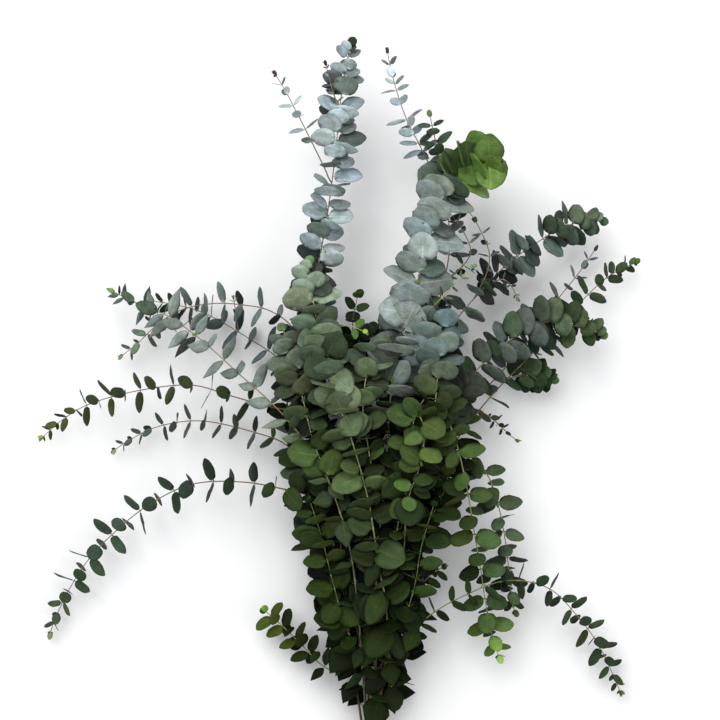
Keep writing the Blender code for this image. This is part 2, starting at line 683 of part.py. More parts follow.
def with_bends(curve, joints):
    """Adds plain bends to the joints, where the stem would leave its curve without them."""
    if curve.sprig.parent:
        stops = [Joint(curve.starts_at, "bend"), *joints, Joint(curve.length, "bend")]
    else:
        tie = [Joint(y - CUT_ENDS_Y, "bend") for y in (-PINNED_Y, 2 * PINNED_Y)]
        stops = [Joint(0.0, "bend"), *tie, *joints, Joint(curve.length, "bend")]
    found = [stops[0]]
    for before, after in zip(stops, stops[1:]):
        found += [*bend_between(curve, before.s, after.s), after]
    return found


def ring_at(curve, s, roll):
    """The corners of the stem's section at distance s, whose first side faces the angle roll."""
    tangent, across, over = curve.frame(s)
    reach = curve.half(s) * CORNER_REACH
    centre = curve.at(s)
    angles = [roll + (k + 0.5) * TURN for k in range(SIDES)]
    return [centre + (across * math.cos(a) + over * math.sin(a)) * reach for a in angles]


def side_facing(roll, angle):
    """The side of a section turned to roll that faces an angle."""
    return round((angle - roll) / TURN) % SIDES


def best_match(base, ring):
    """How to lay a ring of three corners onto four: the total distance, and where each starts."""
    options = []
    for double in range(4):
        for turn in range(SIDES):
            pairs = [(base[(double + i) % 4], ring[(turn - max(0, i - 1)) % SIDES]) for i in range(4)]
            options.append((sum((a - b).length for a, b in pairs), double, turn))
    return min(options)


def first_roll(curve, base):
    """The roll of a shoot's first ring that lies best on the side it grows from."""
    if base is None:
        return 0.0
    rolls = [k * TURN / 12 for k in range(12)]
    return min(rolls, key=lambda roll: best_match(base, ring_at(curve, curve.starts_at, roll))[0])


def rings_of(curve, base=None):
    """Every ring along the stem, what grows from the sides above it, and its joint."""
    rings, roll = [], first_roll(curve, base)
    for joint in curve.joints:
        if joint.kind == "bend":
            rings.append((ring_at(curve, joint.s, roll), {}, None))
            continue
        lean = math.pi / 6 if joint.kind == "pair" else 0.0
        turns = [joint.roll + way * lean for way in (1, -1)]
        turned, way = min(((round((roll - t) / TURN) * TURN + t, w) for t, w in zip(turns, (1, -1))),
                          key=lambda option: abs(option[0] - roll))
        roll = turned
        grown = {side_facing(roll, joint.roll + way * lean): (joint, 0)}
        if joint.kind == "pair":
            grown[side_facing(roll, joint.roll + way * (math.pi - lean))] = (joint, 1)
        lower, upper = (ring_at(curve, joint.s + end * joint.depth, roll) for end in (-1, 1))
        sides = sorted(grown, key=lambda side: grown[side][1])
        joint.corners = tuple((lower[i], lower[i - 1], upper[i - 1], upper[i]) for i in sides)
        rings += [(lower, grown, joint), (upper, {}, joint)]
    return rings


class Skin:
    """The closed skin of a stem with its shoots and blades, and what each of its triangles belongs to."""

    def __init__(self, curve):
        self.points = []
        self.faces = []
        self.owners = []  # a joint and which of its leaves, or a curve
        self.add_stem(curve)

    def add_points(self, points):
        """Adds points and returns their numbers."""
        self.points += points
        return list(range(len(self.points) - len(points), len(self.points)))

    def add_face(self, corners, owner):
        """Adds a flat triangle, or two for four corners, cut along the shorter diagonal."""
        if len(corners) == 4:
            a, b, c, d = corners
            across = (self.points[a] - self.points[c]).length > (self.points[b] - self.points[d]).length
            cuts = ((a, b, d), (b, c, d)) if across else ((a, b, c), (a, c, d))
        else:
            cuts = (tuple(corners),)
        self.faces += cuts
        self.owners += [owner] * len(cuts)

    def add_blade(self, corners, joint, which):
        """Grows a closed blade out of one side of the stem."""
        points, faces = joint.leaves[which].body()
        n = len(points) // 2
        numbers = [0] * len(points)
        for k, point in enumerate(points):
            if k in (0, n - 1, n, 2 * n - 1):
                numbers[k] = min(corners, key=lambda c: (self.points[c] - point).length)
            else:
                numbers[k] = self.add_points([point])[0]
        for face in faces:
            self.add_face([numbers[k] for k in face], (joint, which))

    def add_stem(self, curve, base=None):
        """Skins a stem's rings, with its blades and shoots growing out of their sides."""
        rings = [self.add_points(ring) for ring, _, _ in curve.rings]
        if base is None:
            self.add_face(rings[0][::-1], curve)
        else:
            self.join_root(base, rings[0], curve)
        self.add_face(rings[-1], curve)
        for k, (_, grown, _) in enumerate(curve.rings[:-1]):
            for i in range(SIDES):
                before = (i - 1) % SIDES
                corners = (rings[k][i], rings[k][before], rings[k + 1][before], rings[k + 1][i])
                joint, which = grown.get(i, (None, 0))
                if joint is not None and joint.kind == "shoot":
                    self.add_stem(joint.shoot, corners)
                elif joint is not None and joint.leaves[which]:
                    self.add_blade(corners, joint, which)
                else:
                    self.add_face(corners, curve)

    def join_root(self, base, ring, curve):
        """Closes a shoot's first ring of three corners onto the four corners of its mother's side."""
        _, double, turn = best_match([self.points[k] for k in base], [self.points[k] for k in ring])
        b = [base[(double + i) % 4] for i in range(4)]
        r = [ring[(turn - i) % SIDES] for i in range(SIDES)]
        self.add_face((b[0], b[1], r[0]), curve)
        self.add_face((b[1], b[2], r[1], r[0]), curve)
        self.add_face((b[2], b[3], r[2], r[1]), curve)
        self.add_face((b[3], b[0], r[0], r[2]), curve)

    def crossings(self):
        """The pairs of triangles that cut through each other."""
        tree = BVHTree.FromPolygons(self.points, self.faces)
        pairs = [(a, b) for a, b in tree.overlap(tree) if a < b]
        return [(a, b) for a, b in pairs if not set(self.faces[a]) & set(self.faces[b])]


def sound_skin(curve):
    """A stem's skin, without the leaves that would cut through it."""
    while True:
        skin = Skin(curve)
        counts = {}
        for k in (k for pair in skin.crossings() for k in pair):
            if isinstance(skin.owners[k], tuple):
                joint, which = skin.owners[k]
                before = counts.get((id(joint), which), (0,))
                counts[id(joint), which] = (before[0] + 1, joint, which)
        if not counts:
            return skin
        _, joint, which = max(counts.values(), key=lambda entry: entry[0])
        joint.leaves = tuple(None if k == which else leaf for k, leaf in enumerate(joint.leaves))


def laid_out():
    """Every curve of the bunch, with its joints, rings and leaves."""
    curves = []
    for sprig in SPRIGS:
        curves.append(Curve(sprig, smooth_route(route_of(sprig))))
    named = {c.sprig.name: c for c in curves}
    for c in curves:
        c.measure()
        if c.sprig.parent:
            c.root_index = root_on(named[c.sprig.parent], c.sprig.points[0])
    ease_apart(curves)
    for c in curves:
        c.measure()
    for c in curves:
        if c.sprig.parent:
            mother = named[c.sprig.parent]
            lift_off(c, mother)
            c.measure()
            c.starts_at = (mother.half(float(mother.along[c.root_index])) + c.half(0)) * CORNER_REACH
    crowd, bases = Crowd(), {}
    for c in curves:
        shoots = [x for x in curves if x.sprig.parent == c.sprig.name]
        c.joints = with_bends(c, joints_of(c, shoots))
        c.rings = rings_of(c, bases.get(c.sprig.name))
        for joint in c.joints:
            if joint.kind == "shoot":
                bases[joint.shoot.sprig.name] = joint.corners[0]
        root = [ring_at(c, 0.0, 0.0)] if c.sprig.parent else []
        crowd.add_tube(c.sprig.name, root + [ring for ring, _, _ in c.rings])
    for c in curves:
        draw = random.Random(f"{SEED} leaves {c.sprig.name}")
        for joint in c.joints:
            if joint.kind == "pair":
                joint.leaves = tuple(placed_leaf(crowd, c, joint, which, draw) for which in (0, 1))
    thin_out(curves)
    return curves


def in_sight(leaf, tree):
    """How much of a leaf's upper side can be seen past the others, from above and from the sides."""
    seen = 0.0
    for x, y in SIGHT_POINTS:
        start = leaf.point(x, y)
        for way, weight in SIGHT_WAYS:
            if tree.ray_cast(start + way * 1.2, way)[0] is None:
                seen += weight / len(SIGHT_POINTS)
    return seen


def is_wanted(leaf, tree):
    """True for a leaf that shows, or that the bunch rests on."""
    return lowest(leaf) < FLOOR_GAP + 0.1 or in_sight(leaf, tree) >= LEAST_SIGHT


def thin_out(curves):
    """Leaves out the blades deep inside the bunch that hardly anything of can be seen."""
    points, faces = [], []
    blades = [leaf for c in curves for joint in c.joints for leaf in joint.leaves if leaf]
    for leaf in blades:
        hull_points, hull_faces = leaf.hull(BLADE_THICKNESS / 2)
        faces += [tuple(i + len(points) for i in face) for face in hull_faces]
        points += hull_points
    tree = BVHTree.FromPolygons(points, faces)
    for c in curves:
        for joint in c.joints:
            if joint.kind == "pair":
                wanted = [leaf is not None and is_wanted(leaf, tree) for leaf in joint.leaves]
                joint.leaves = tuple(leaf if keep else None for leaf, keep in zip(joint.leaves, wanted))
        drop_bare_rings(c)


def drop_bare_rings(curve):
    """Takes out the rings of pairs that were left out, where the stem hardly bends."""
    kept = curve.rings[:1]
    for ring, after in zip(curve.rings[1:], curve.rings[2:]):
        joint = ring[2]
        if joint is not None and joint.kind == "pair" and not any(joint.leaves):
            chord = (middle(after) - middle(kept[-1])).normalized()
            off = middle(ring) - middle(kept[-1])
            if (off - chord * off.dot(chord)).length < BARE_RING_TOLERANCE:
                continue
        kept.append(ring)
    curve.rings = [*kept, curve.rings[-1]]


def middle(ring):
    """The centre of a ring's corners."""
    return sum(ring[0], Vector()) / SIDES


def material(name, colour, roughness):
    """A plain matt material."""
    made = bpy.data.materials.new(name)
    made.use_nodes = True
    shader = made.node_tree.nodes["Principled BSDF"]
    shader.inputs["Base Color"].default_value = (*colour, 1)
    shader.inputs["Roughness"].default_value = roughness
    shader.inputs["Metallic"].default_value = 0.0
    return made


def centre_on_origin():
    """Moves the whole bunch so that the origin is the middle of its box, at the surface."""
    meshes = [obj.data for obj in bpy.data.objects]
    low = [min(v.co[i] for mesh in meshes for v in mesh.vertices) for i in range(3)]
    high = [max(v.co[i] for mesh in meshes for v in mesh.vertices) for i in range(3)]
    shift = Vector(((low[0] + high[0]) / 2, (low[1] + high[1]) / 2, low[2]))
    for mesh in meshes:
        for v in mesh.vertices:
            v.co -= shift
    print("tie's place in mm:", [round(-v / MM, 3) for v in shift])


def add_object(name, points, faces, finish):
    """Turns points in millimetres and faces into a node of the part."""
    bm = bmesh.new()
    verts = [bm.verts.new(p * MM) for p in points]
    for face in faces:
        bm.faces.new([verts[k] for k in face])
    bmesh.ops.recalc_face_normals(bm, faces=bm.faces)
    if bm.calc_volume(signed=True) < 0:
        bmesh.ops.reverse_faces(bm, faces=bm.faces)
    mesh = bpy.data.meshes.new(name)
    bm.to_mesh(mesh)
    bm.free()
    mesh.materials.append(finish)
    bpy.context.scene.collection.objects.link(bpy.data.objects.new(name, mesh))


def make_tie(finish):
    """The band round the stems, whose lowest facet lies on the surface."""
    centre = Vector((TIE_CENTRE_X, 0, TIE_OUTER))
    section = ((TIE_INNER, -1), (TIE_INNER, 1), (TIE_OUTER, 1), (TIE_OUTER, -1))
    stretch = 1 / math.cos(math.pi / TIE_SIDES)
    points, faces = [], []
    for k in range(TIE_SIDES):
        angle = (k + 0.5) * 2 * math.pi / TIE_SIDES
        for r, side in section:
            out = Vector((math.sin(angle), 0, -math.cos(angle))) * r * stretch
            points.append(centre + out + Vector((0, side * TIE_HALF_WIDTH, 0)))
        after = (k + 1) % TIE_SIDES
        for i in range(4):
            j = (i + 1) % 4
            faces.append((4 * k + i, 4 * k + j, 4 * after + j, 4 * after + i))
    add_object("tie", points, faces, finish)


def main():
    for obj in list(bpy.data.objects):
        bpy.data.objects.remove(obj)
    curves = laid_out()
    for curve in curves:
        if not curve.sprig.parent:
            skin = sound_skin(curve)
            name = curve.sprig.name
            add_object(name, skin.points, skin.faces, material(f"{name}_leaf", LEAF_COLOURS[name], 0.6))
    make_tie(material("tie", TWINE, 0.9))
    centre_on_origin()
    print("leaves:", sum(leaf is not None for c in curves for joint in c.joints for leaf in joint.leaves))


if __name__ == "__main__":
    main()
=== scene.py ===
"""The dressed model of a tied bunch of eucalyptus that lies flat on a pale floor.

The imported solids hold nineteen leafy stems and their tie. This script grows the same stems by the
same rule and from the same numbers, so each finer leaf lies where its solid is, and adds what the
solids leave out: the leaves deep inside the bunch, the smallest leaves at the tips, swollen nodes,
veins and the waxy bloom. Routes are in millimetres from a point under the tie; the frame is in
metres. +Y runs up the bunch and +Z is height.
"""

from __future__ import annotations

import json
import logging
import math
import random
from dataclasses import dataclass, field
from enum import Enum
from typing import Sequence

import bpy
import numpy as np
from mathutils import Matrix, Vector
from mathutils.bvhtree import BVHTree
from mathutils.kdtree import KDTree

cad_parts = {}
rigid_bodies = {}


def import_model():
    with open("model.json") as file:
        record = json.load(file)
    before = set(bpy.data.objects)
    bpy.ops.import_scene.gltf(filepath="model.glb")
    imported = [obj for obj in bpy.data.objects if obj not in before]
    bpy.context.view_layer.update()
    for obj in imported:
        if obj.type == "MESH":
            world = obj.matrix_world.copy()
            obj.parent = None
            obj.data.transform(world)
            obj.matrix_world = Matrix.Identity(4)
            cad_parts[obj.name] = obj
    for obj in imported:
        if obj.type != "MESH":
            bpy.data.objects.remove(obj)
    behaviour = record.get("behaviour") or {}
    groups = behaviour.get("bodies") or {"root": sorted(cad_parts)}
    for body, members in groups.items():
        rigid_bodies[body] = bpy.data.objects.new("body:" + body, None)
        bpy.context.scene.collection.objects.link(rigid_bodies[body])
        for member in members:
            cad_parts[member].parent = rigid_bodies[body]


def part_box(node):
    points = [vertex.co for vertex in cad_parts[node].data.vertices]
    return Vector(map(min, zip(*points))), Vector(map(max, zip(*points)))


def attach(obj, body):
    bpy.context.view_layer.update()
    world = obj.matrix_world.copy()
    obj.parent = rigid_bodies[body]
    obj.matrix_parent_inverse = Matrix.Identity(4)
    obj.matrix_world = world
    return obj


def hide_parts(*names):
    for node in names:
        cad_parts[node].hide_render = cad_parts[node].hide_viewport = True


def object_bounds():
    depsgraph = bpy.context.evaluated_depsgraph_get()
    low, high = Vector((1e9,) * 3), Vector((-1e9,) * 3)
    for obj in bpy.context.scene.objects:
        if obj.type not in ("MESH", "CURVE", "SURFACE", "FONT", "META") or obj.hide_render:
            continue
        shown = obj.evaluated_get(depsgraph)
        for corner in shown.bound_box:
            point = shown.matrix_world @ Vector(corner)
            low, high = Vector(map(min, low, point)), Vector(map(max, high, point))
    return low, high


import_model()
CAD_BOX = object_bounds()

log = logging.getLogger("bunch")

MM = 0.001
SEED = 11

# The bundle inside the tie
PITCH_X, PITCH_Z = 5.3, 5.9
STEM_HALF = 2.05
CUT_ENDS_Y = -92.0
BUNDLE_SPREAD = ((CUT_ENDS_Y, 1.12), (-40.0, 1.02), (-12.0, 1.0), (12.0, 1.0), (40.0, 1.35))
TIE_CENTRE_X = -4.0
TIE_OUTER = 18.9

# Stems and shoots
TIP_HALF = 0.62
SHOOT_HALF = 1.2
SIDES = 3
CORNER_REACH = 1.55  # of the section, over half the stem's width
CURVE_STEP = 7.0
FINE_STEPS = 12  # between two of a route's own points
BEND_TOLERANCE = 2.0
BUNDLE_TOLERANCE = 0.3
BUNDLE_REACH = 110.0  # above the tie
STEM_GAP = 3.0
PINNED_Y, FREE_Y = 12.0, 70.0  # up to where stems stay put, and from where they are free
EASE_ROUNDS, EASE_REACH = 90, 12.0
ROOT_STRETCH = 60.0  # of a shoot, over which it leaves its mother
JOINED_STRETCH = 22.0  # of a shoot, over which it may be near its mother

# Leaves
CLOSER_FROM = 190.0  # distance from the tip over which the pairs draw together
BLADE_THICKNESS = 0.7
PETIOLE = 1.6
CLEARANCE = 0.95
OWN_CLEARANCE = 0.2  # from the stem it grows on
ROOT_OFF = 0.2
FLOOR_GAP = 0.02
SMALLEST_LEAF = 7.0
LOOSE_CLEARANCE = 0.1
CELL = 40.0  # of the grid that tells which leaves are near
LEAN_GROWN, LEAN_YOUNG = 72, 50  # degrees between a leaf and its stem
TRIES, SHRINK_AFTER, SHRUNK = 14, 7, 0.82
OUTLINES = (  # from which leaf length on, and the corners along one side from base to tip
    (27.0, ((0.16, 0.86), (0.66, 0.94), (1.0, 0.0))),
    (16.0, ((0.26, 0.96), (0.84, 0.66))),
    (0.0, ((0.45, 0.98), (1.0, 0.0))),
)

UP = Vector((0, 0, 1))
TURN = 2 * math.pi / SIDES


@dataclass(frozen=True)
class Sprig:
    """A stem or a side shoot, and how its leaves grow."""

    name: str
    leaf: float  # length of its largest leaves
    broad: float  # a leaf's width over its length
    face: float  # how far its blades turn up
    spacing: float  # between leaf pairs
    grown: float  # how far from the tip leaves reach full size
    first: float  # how far along it the first leaves grow
    full: float = 0.0  # how far along it no pair is left out
    slot: tuple[float, float] | None = None  # column and row in the bundle, for a stem
    parent: str | None = None  # what a side shoot grows from
    points: tuple[tuple[float, float, float], ...] = ()  # what its route passes through


# After each name: length, breadth and face of the leaves, then spacing, growth, start and full start of
# the pairs
SPRIGS = (
    Sprig("stem_front", 33, 0.9, 1.0, 25, 45, 45, 60, slot=(1, 2), points=(
        (15, 100, 62), (12, 165, 88), (4, 210, 104), (-8, 285, 122), (-28, 358, 132), (-46, 405, 134),
        (-58, 450, 132), (-68, 500, 126), (-76, 552, 118))),
    Sprig("stem_fall_front", 27, 0.85, 0.9, 23, 60, 60, 120, slot=(2, 1), points=(
        (25, 100, 50), (32, 210, 86), (36, 320, 126), (43, 378, 146), (52, 374, 152), (53, 345, 150),
        (46, 315, 146), (39, 297, 142), (31, 266, 136))),
    Sprig("stem_left_upper", 31, 0.7, 0.7, 26, 80, 40, 60, slot=(-1, 2), points=(
        (-15, 100, 58), (-24, 200, 92), (-36, 258, 106), (-60, 322, 114), (-103, 380, 108), (-158, 430, 92),
        (-195, 463, 84), (-235, 492, 72), (-265, 504, 62), (-303, 522, 50))),
    Sprig("stem_fall_right", 28, 0.8, 0.8, 26, 50, 42, 60, slot=(1, 1), points=(
        (13, 100, 46), (20, 200, 76), (26, 260, 96), (38, 350, 116), (54, 398, 126), (72, 392, 128),
        (90, 352, 120), (103, 300, 108), (112, 250, 94), (121, 200, 78), (128, 158, 62), (136, 122, 48),
        (144, 98, 38))),
    Sprig("stem_left_long", 24, 0.62, 0.4, 23, 90, 120, 330, slot=(-2, 1), points=(
        (-26, 100, 46), (-38, 210, 76), (-40, 328, 102), (-48, 362, 106), (-75, 381, 102), (-120, 390, 92),
        (-165, 402, 82), (-210, 414, 72), (-270, 408, 58), (-330, 392, 42), (-365, 372, 32),
        (-388, 352, 24))),
    Sprig("stem_large_leaf", 40, 0.92, 1.0, 29, 30, 200, 250, slot=(0, 2), points=(
        (0, 100, 54), (2, 210, 82), (12, 320, 94), (18, 410, 104), (25, 445, 108), (33, 480, 110),
        (42, 512, 110), (52, 548, 108), (60, 575, 106), (72, 612, 104), (92, 645, 102), (118, 668, 100),
        (136, 682, 96))),
    Sprig("stem_tall", 30, 0.85, 0.8, 25, 60, 130, 290, slot=(-1, 1), points=(
        (-14, 100, 42), (-42, 210, 58), (-72, 290, 64), (-88, 400, 70), (-84, 455, 74), (-66, 545, 80),
        (-55, 605, 82), (-48, 655, 84), (-43, 700, 86), (-37, 755, 86), (-28, 803, 84))),
    Sprig("stem_fall_side", 25, 0.78, 0.6, 23, 50, 130, 250, slot=(1, 0), points=(
        (20, 100, 34), (40, 210, 62), (68, 300, 84), (92, 334, 90), (110, 333, 88), (128, 312, 82),
        (140, 280, 74), (147, 250, 66), (152, 220, 58), (156, 185, 48), (158, 165, 42), (163, 150, 38))),
    Sprig("stem_right_grey", 33, 0.75, 0.8, 26, 60, 180, 300, slot=(0, 0), points=(
        (10, 100, 30), (26, 210, 48), (58, 330, 68), (86, 402, 82), (108, 424, 86), (140, 455, 86),
        (168, 474, 82), (200, 487, 76), (232, 481, 66), (262, 472, 56))),
    Sprig("stem_right_upper", 28, 0.85, 0.7, 25, 45, 240, 430, slot=(0, -1), points=(
        (6, 100, 18), (18, 210, 28), (46, 340, 42), (66, 430, 50), (90, 483, 56), (120, 520, 60),
        (152, 553, 62), (185, 577, 62), (215, 595, 58), (242, 603, 52), (262, 604, 46))),
    Sprig("stem_right_long", 26, 0.7, 0.5, 24, 90, 240, 340, slot=(1, -1), points=(
        (18, 100, 18), (38, 210, 30), (84, 330, 48), (112, 374, 54), (138, 406, 58), (168, 437, 60),
        (198, 468, 58), (230, 502, 52), (262, 533, 44), (285, 548, 36), (304, 556, 30))),
    Sprig("stem_top_thin", 22, 0.6, 0.6, 27, 90, 300, 560, slot=(0, 1), points=(
        (2, 100, 38), (8, 210, 56), (28, 330, 58), (52, 430, 60), (76, 520, 62), (86, 575, 64),
        (80, 625, 68), (66, 658, 72), (50, 690, 76), (37, 715, 78), (26, 745, 80), (18, 775, 78),
        (14, 796, 76))),
    Sprig("stem_left_arch", 25, 0.62, 0.5, 24, 80, 280, 460, slot=(-1, -1), points=(
        (-14, 100, 16), (-34, 210, 26), (-62, 340, 36), (-78, 430, 44), (-94, 478, 50), (-120, 499, 54),
        (-150, 506, 54), (-185, 508, 52), (-220, 502, 46), (-250, 486, 38), (-275, 463, 30),
        (-296, 447, 24))),
    Sprig("stem_left_low", 22, 0.6, 0.45, 23, 110, 240, 330, slot=(-2, -1), points=(
        (-24, 100, 18), (-46, 210, 28), (-72, 300, 34), (-100, 342, 38), (-140, 359, 40), (-200, 372, 38),
        (-250, 366, 32), (-285, 350, 24), (-305, 337, 18))),
    Sprig("stem_right_thin", 22, 0.6, 0.45, 24, 90, 260, 460, slot=(0.5, -2.15), points=(
        (8, 100, 9), (26, 210, 12), (72, 320, 13), (108, 385, 13), (145, 425, 15), (180, 465, 20),
        (205, 503, 26), (235, 541, 30), (257, 572, 30))),
    Sprig("stem_left_back", 27, 0.65, 0.5, 25, 70, 260, 430, slot=(-0.5, -2.15), points=(
        (-6, 100, 9), (-22, 210, 12), (-60, 340, 14), (-88, 420, 20), (-115, 447, 26), (-150, 470, 32),
        (-180, 488, 36), (-205, 500, 36), (-232, 507, 32), (-262, 512, 26))),
    Sprig("stem_left_edge", 31, 0.85, 0.9, 25, 40, 50, 90, slot=(-2, 0), points=(
        (-28, 100, 30), (-57, 210, 44), (-70, 258, 46), (-80, 310, 46), (-92, 370, 52), (-98, 424, 56))),
    Sprig("stem_right_edge", 31, 0.85, 0.9, 25, 40, 45, 70, slot=(2, 0), points=(
        (30, 100, 34), (49, 210, 50), (60, 250, 56), (74, 290, 62), (92, 350, 66), (104, 388, 66))),
    Sprig("stem_back", 31, 0.9, 1.0, 27, 60, 180, 260, slot=(-1, 0), points=(
        (-10, 100, 28), (-14, 210, 40), (-18, 330, 46), (-22, 430, 50), (-26, 480, 54), (-20, 517, 58))),
    Sprig("shoot_mid_front", 31, 0.95, 1.0, 24, 30, 24, parent="stem_large_leaf", points=(
        (7, 262, 88), (0, 300, 108), (-8, 345, 120), (-14, 390, 124), (-8, 440, 122), (-2, 478, 118))),
    Sprig("shoot_mid_left", 31, 0.9, 1.0, 24, 30, 24, parent="stem_left_upper", points=(
        (-54, 310, 112), (-70, 352, 118), (-82, 400, 112), (-96, 446, 102), (-104, 478, 94))),
    Sprig("shoot_mid_right", 31, 0.9, 1.0, 24, 30, 24, parent="stem_fall_right", points=(
        (32, 308, 108), (54, 350, 132), (66, 392, 138), (70, 436, 132), (74, 474, 122), (66, 506, 112))),
    Sprig("shoot_low_left", 30, 0.9, 1.0, 24, 30, 20, parent="stem_left_upper", points=(
        (-14, 92, 56), (-34, 140, 76), (-48, 190, 92), (-60, 240, 100), (-74, 284, 102))),
    Sprig("shoot_low_mid", 29, 0.9, 1.0, 24, 30, 20, parent="stem_fall_right", points=(
        (12, 96, 45), (30, 138, 70), (44, 184, 96), (52, 232, 106), (66, 280, 110))),
    Sprig("shoot_low_right", 29, 0.9, 1.0, 23, 30, 24, parent="stem_fall_side", points=(
        (47, 235, 68), (66, 268, 84), (80, 300, 98), (86, 338, 104))),
    Sprig("shoot_left_arc", 25, 0.7, 0.4, 24, 90, 35, parent="stem_tall", points=(
        (-71, 288, 64), (-95, 294, 74), (-150, 303, 68), (-210, 300, 60), (-262, 275, 50), (-305, 240, 42),
        (-335, 208, 34), (-358, 172, 26), (-375, 137, 18), (-380, 122, 14))),
    Sprig("shoot_top_left", 19, 0.55, 0.5, 24, 70, 38, parent="stem_tall", points=(
        (-50, 645, 84), (-66, 678, 90), (-85, 716, 92), (-104, 752, 90), (-114, 768, 88))),
    Sprig("shoot_right_arc", 22, 0.58, 0.45, 21, 60, 28, parent="stem_front", points=(
        (15, 102, 63), (40, 130, 74), (65, 153, 80), (100, 173, 80), (150, 190, 70), (200, 180, 58),
        (237, 143, 46), (262, 108, 34), (284, 62, 20), (287, 54, 18))),
    Sprig("shoot_pale_twig", 15, 0.85, 1.2, 16, 20, 44, parent="stem_front", points=(
        (-62, 468, 129), (-45, 478, 138), (-28, 480, 142), (-12, 474, 142))),
    Sprig("shoot_top_right", 20, 0.75, 0.6, 20, 25, 30, parent="stem_large_leaf", points=(
        (86, 638, 102), (77, 664, 90), (69, 692, 88), (62, 722, 88))),
    Sprig("shoot_right_cluster", 24, 0.9, 0.9, 15, 25, 16, parent="stem_right_long", points=(
        (150, 418, 59), (166, 423, 48), (186, 426, 40), (206, 419, 34))),
    Sprig("shoot_right_tiny", 11, 0.55, 0.6, 12, 40, 14, parent="stem_right_long", points=(
        (122, 386, 55), (133, 380, 48), (144, 370, 42), (155, 358, 38), (164, 350, 36))),
    Sprig("shoot_left_base", 21, 0.78, 0.8, 17, 12, 26, parent="stem_left_edge", points=(
        (-22, 78, 26), (-44, 82, 32), (-62, 90, 34), (-82, 110, 36), (-106, 133, 36), (-128, 152, 36))),
    Sprig("shoot_right_base", 16, 0.7, 0.8, 13, 12, 12, parent="stem_right_edge", points=(
        (41, 168, 44), (53, 184, 52), (65, 197, 58), (79, 205, 60))),
)


def smooth_route(points: Sequence, step: float = CURVE_STEP) -> np.ndarray:
    """Points at even steps along one smooth curve through the route's own points.

    Args:
        points: What the route passes through.
        step: The distance between the points.

    Returns:
        The points, one a row.
    """
    p = np.array(points, float)
    p = np.vstack([2 * p[0] - p[1], p, 2 * p[-1] - p[-2]])
    fine = []
    for a, b, c, d in zip(p, p[1:], p[2:], p[3:]):
        for t in np.linspace(0, 1, FINE_STEPS, endpoint=False):
            fine.append(0.5 * (2 * b + (c - a) * t + (2 * a - 5 * b + 4 * c - d) * t**2
                               + (3 * b - a - 3 * c + d) * t**3))
    fine = np.array([*fine, p[-2]])
    along = np.r_[0, np.cumsum(np.linalg.norm(np.diff(fine, axis=0), axis=1))]
    even = np.linspace(0, along[-1], max(3, round(along[-1] / step) + 1))
    return np.column_stack([np.interp(even, along, fine[:, i]) for i in range(3)])


def bundle_place(slot: tuple[float, float], y: float, spread: float) -> tuple[float, float, float]:
    """Where a stem runs past height y inside the bundle."""
    return (TIE_CENTRE_X + slot[0] * PITCH_X * spread, y, TIE_OUTER + slot[1] * PITCH_Z * spread)


def route_of(sprig: Sprig) -> tuple:
    """A sprig's own points, with the stretch through the tie before those of a stem."""
    low = () if sprig.parent else (bundle_place(sprig.slot, y, spread) for y, spread in BUNDLE_SPREAD)
    return (*low, *sprig.points)


@dataclass(eq=False)
class Curve:
    """The centreline of a sprig, read by distance along it."""

    sprig: Sprig
    points: np.ndarray
    root_index: int | None = None  # a shoot's place on its parent's curve
    starts_at: float = 0.0
    joints: list[Joint] = field(default_factory=list)
    spare: list[Joint] = field(default_factory=list)  # pairs that the solids leave out

    def measure(self) -> None:
        """Distances along the curve, once its points are settled."""
        self.along = np.r_[0, np.cumsum(np.linalg.norm(np.diff(self.points, axis=0), axis=1))]
        self.length = float(self.along[-1])

    def at(self, s: float) -> Vector:
        """The point at distance s."""
        return Vector([float(np.interp(s, self.along, self.points[:, i])) for i in range(3)])

    def frame(self, s: float) -> tuple[Vector, Vector, Vector]:
        """Tangent, the level direction across it, and the one that completes them.

        Args:
            s: The distance along the curve.

        Returns:
            The three directions.
        """
        tangent = (self.at(min(s + 4, self.length)) - self.at(max(s - 4, 0))).normalized()
        across = tangent.cross(UP).normalized()
        return tangent, across, across.cross(tangent)

    def half(self, s: float) -> float:
        """Half the stem's width at distance s, from its base to its tip.

        Args:
            s: The distance along the curve.

        Returns:
            Half the width.
        """
        base = SHOOT_HALF if self.sprig.parent else STEM_HALF
        start = 0 if self.sprig.parent else -CUT_ENDS_Y
        share = min(1.0, max(0.0, (s - start) / (self.length - start)))
        return base + (TIP_HALF - base) * share**0.7


def root_on(parent: Curve, point: Sequence) -> int:
    """The index of the parent's curve point nearest to a shoot's first point."""
    return int(np.linalg.norm(parent.points - np.array(point, float), axis=1).argmin())


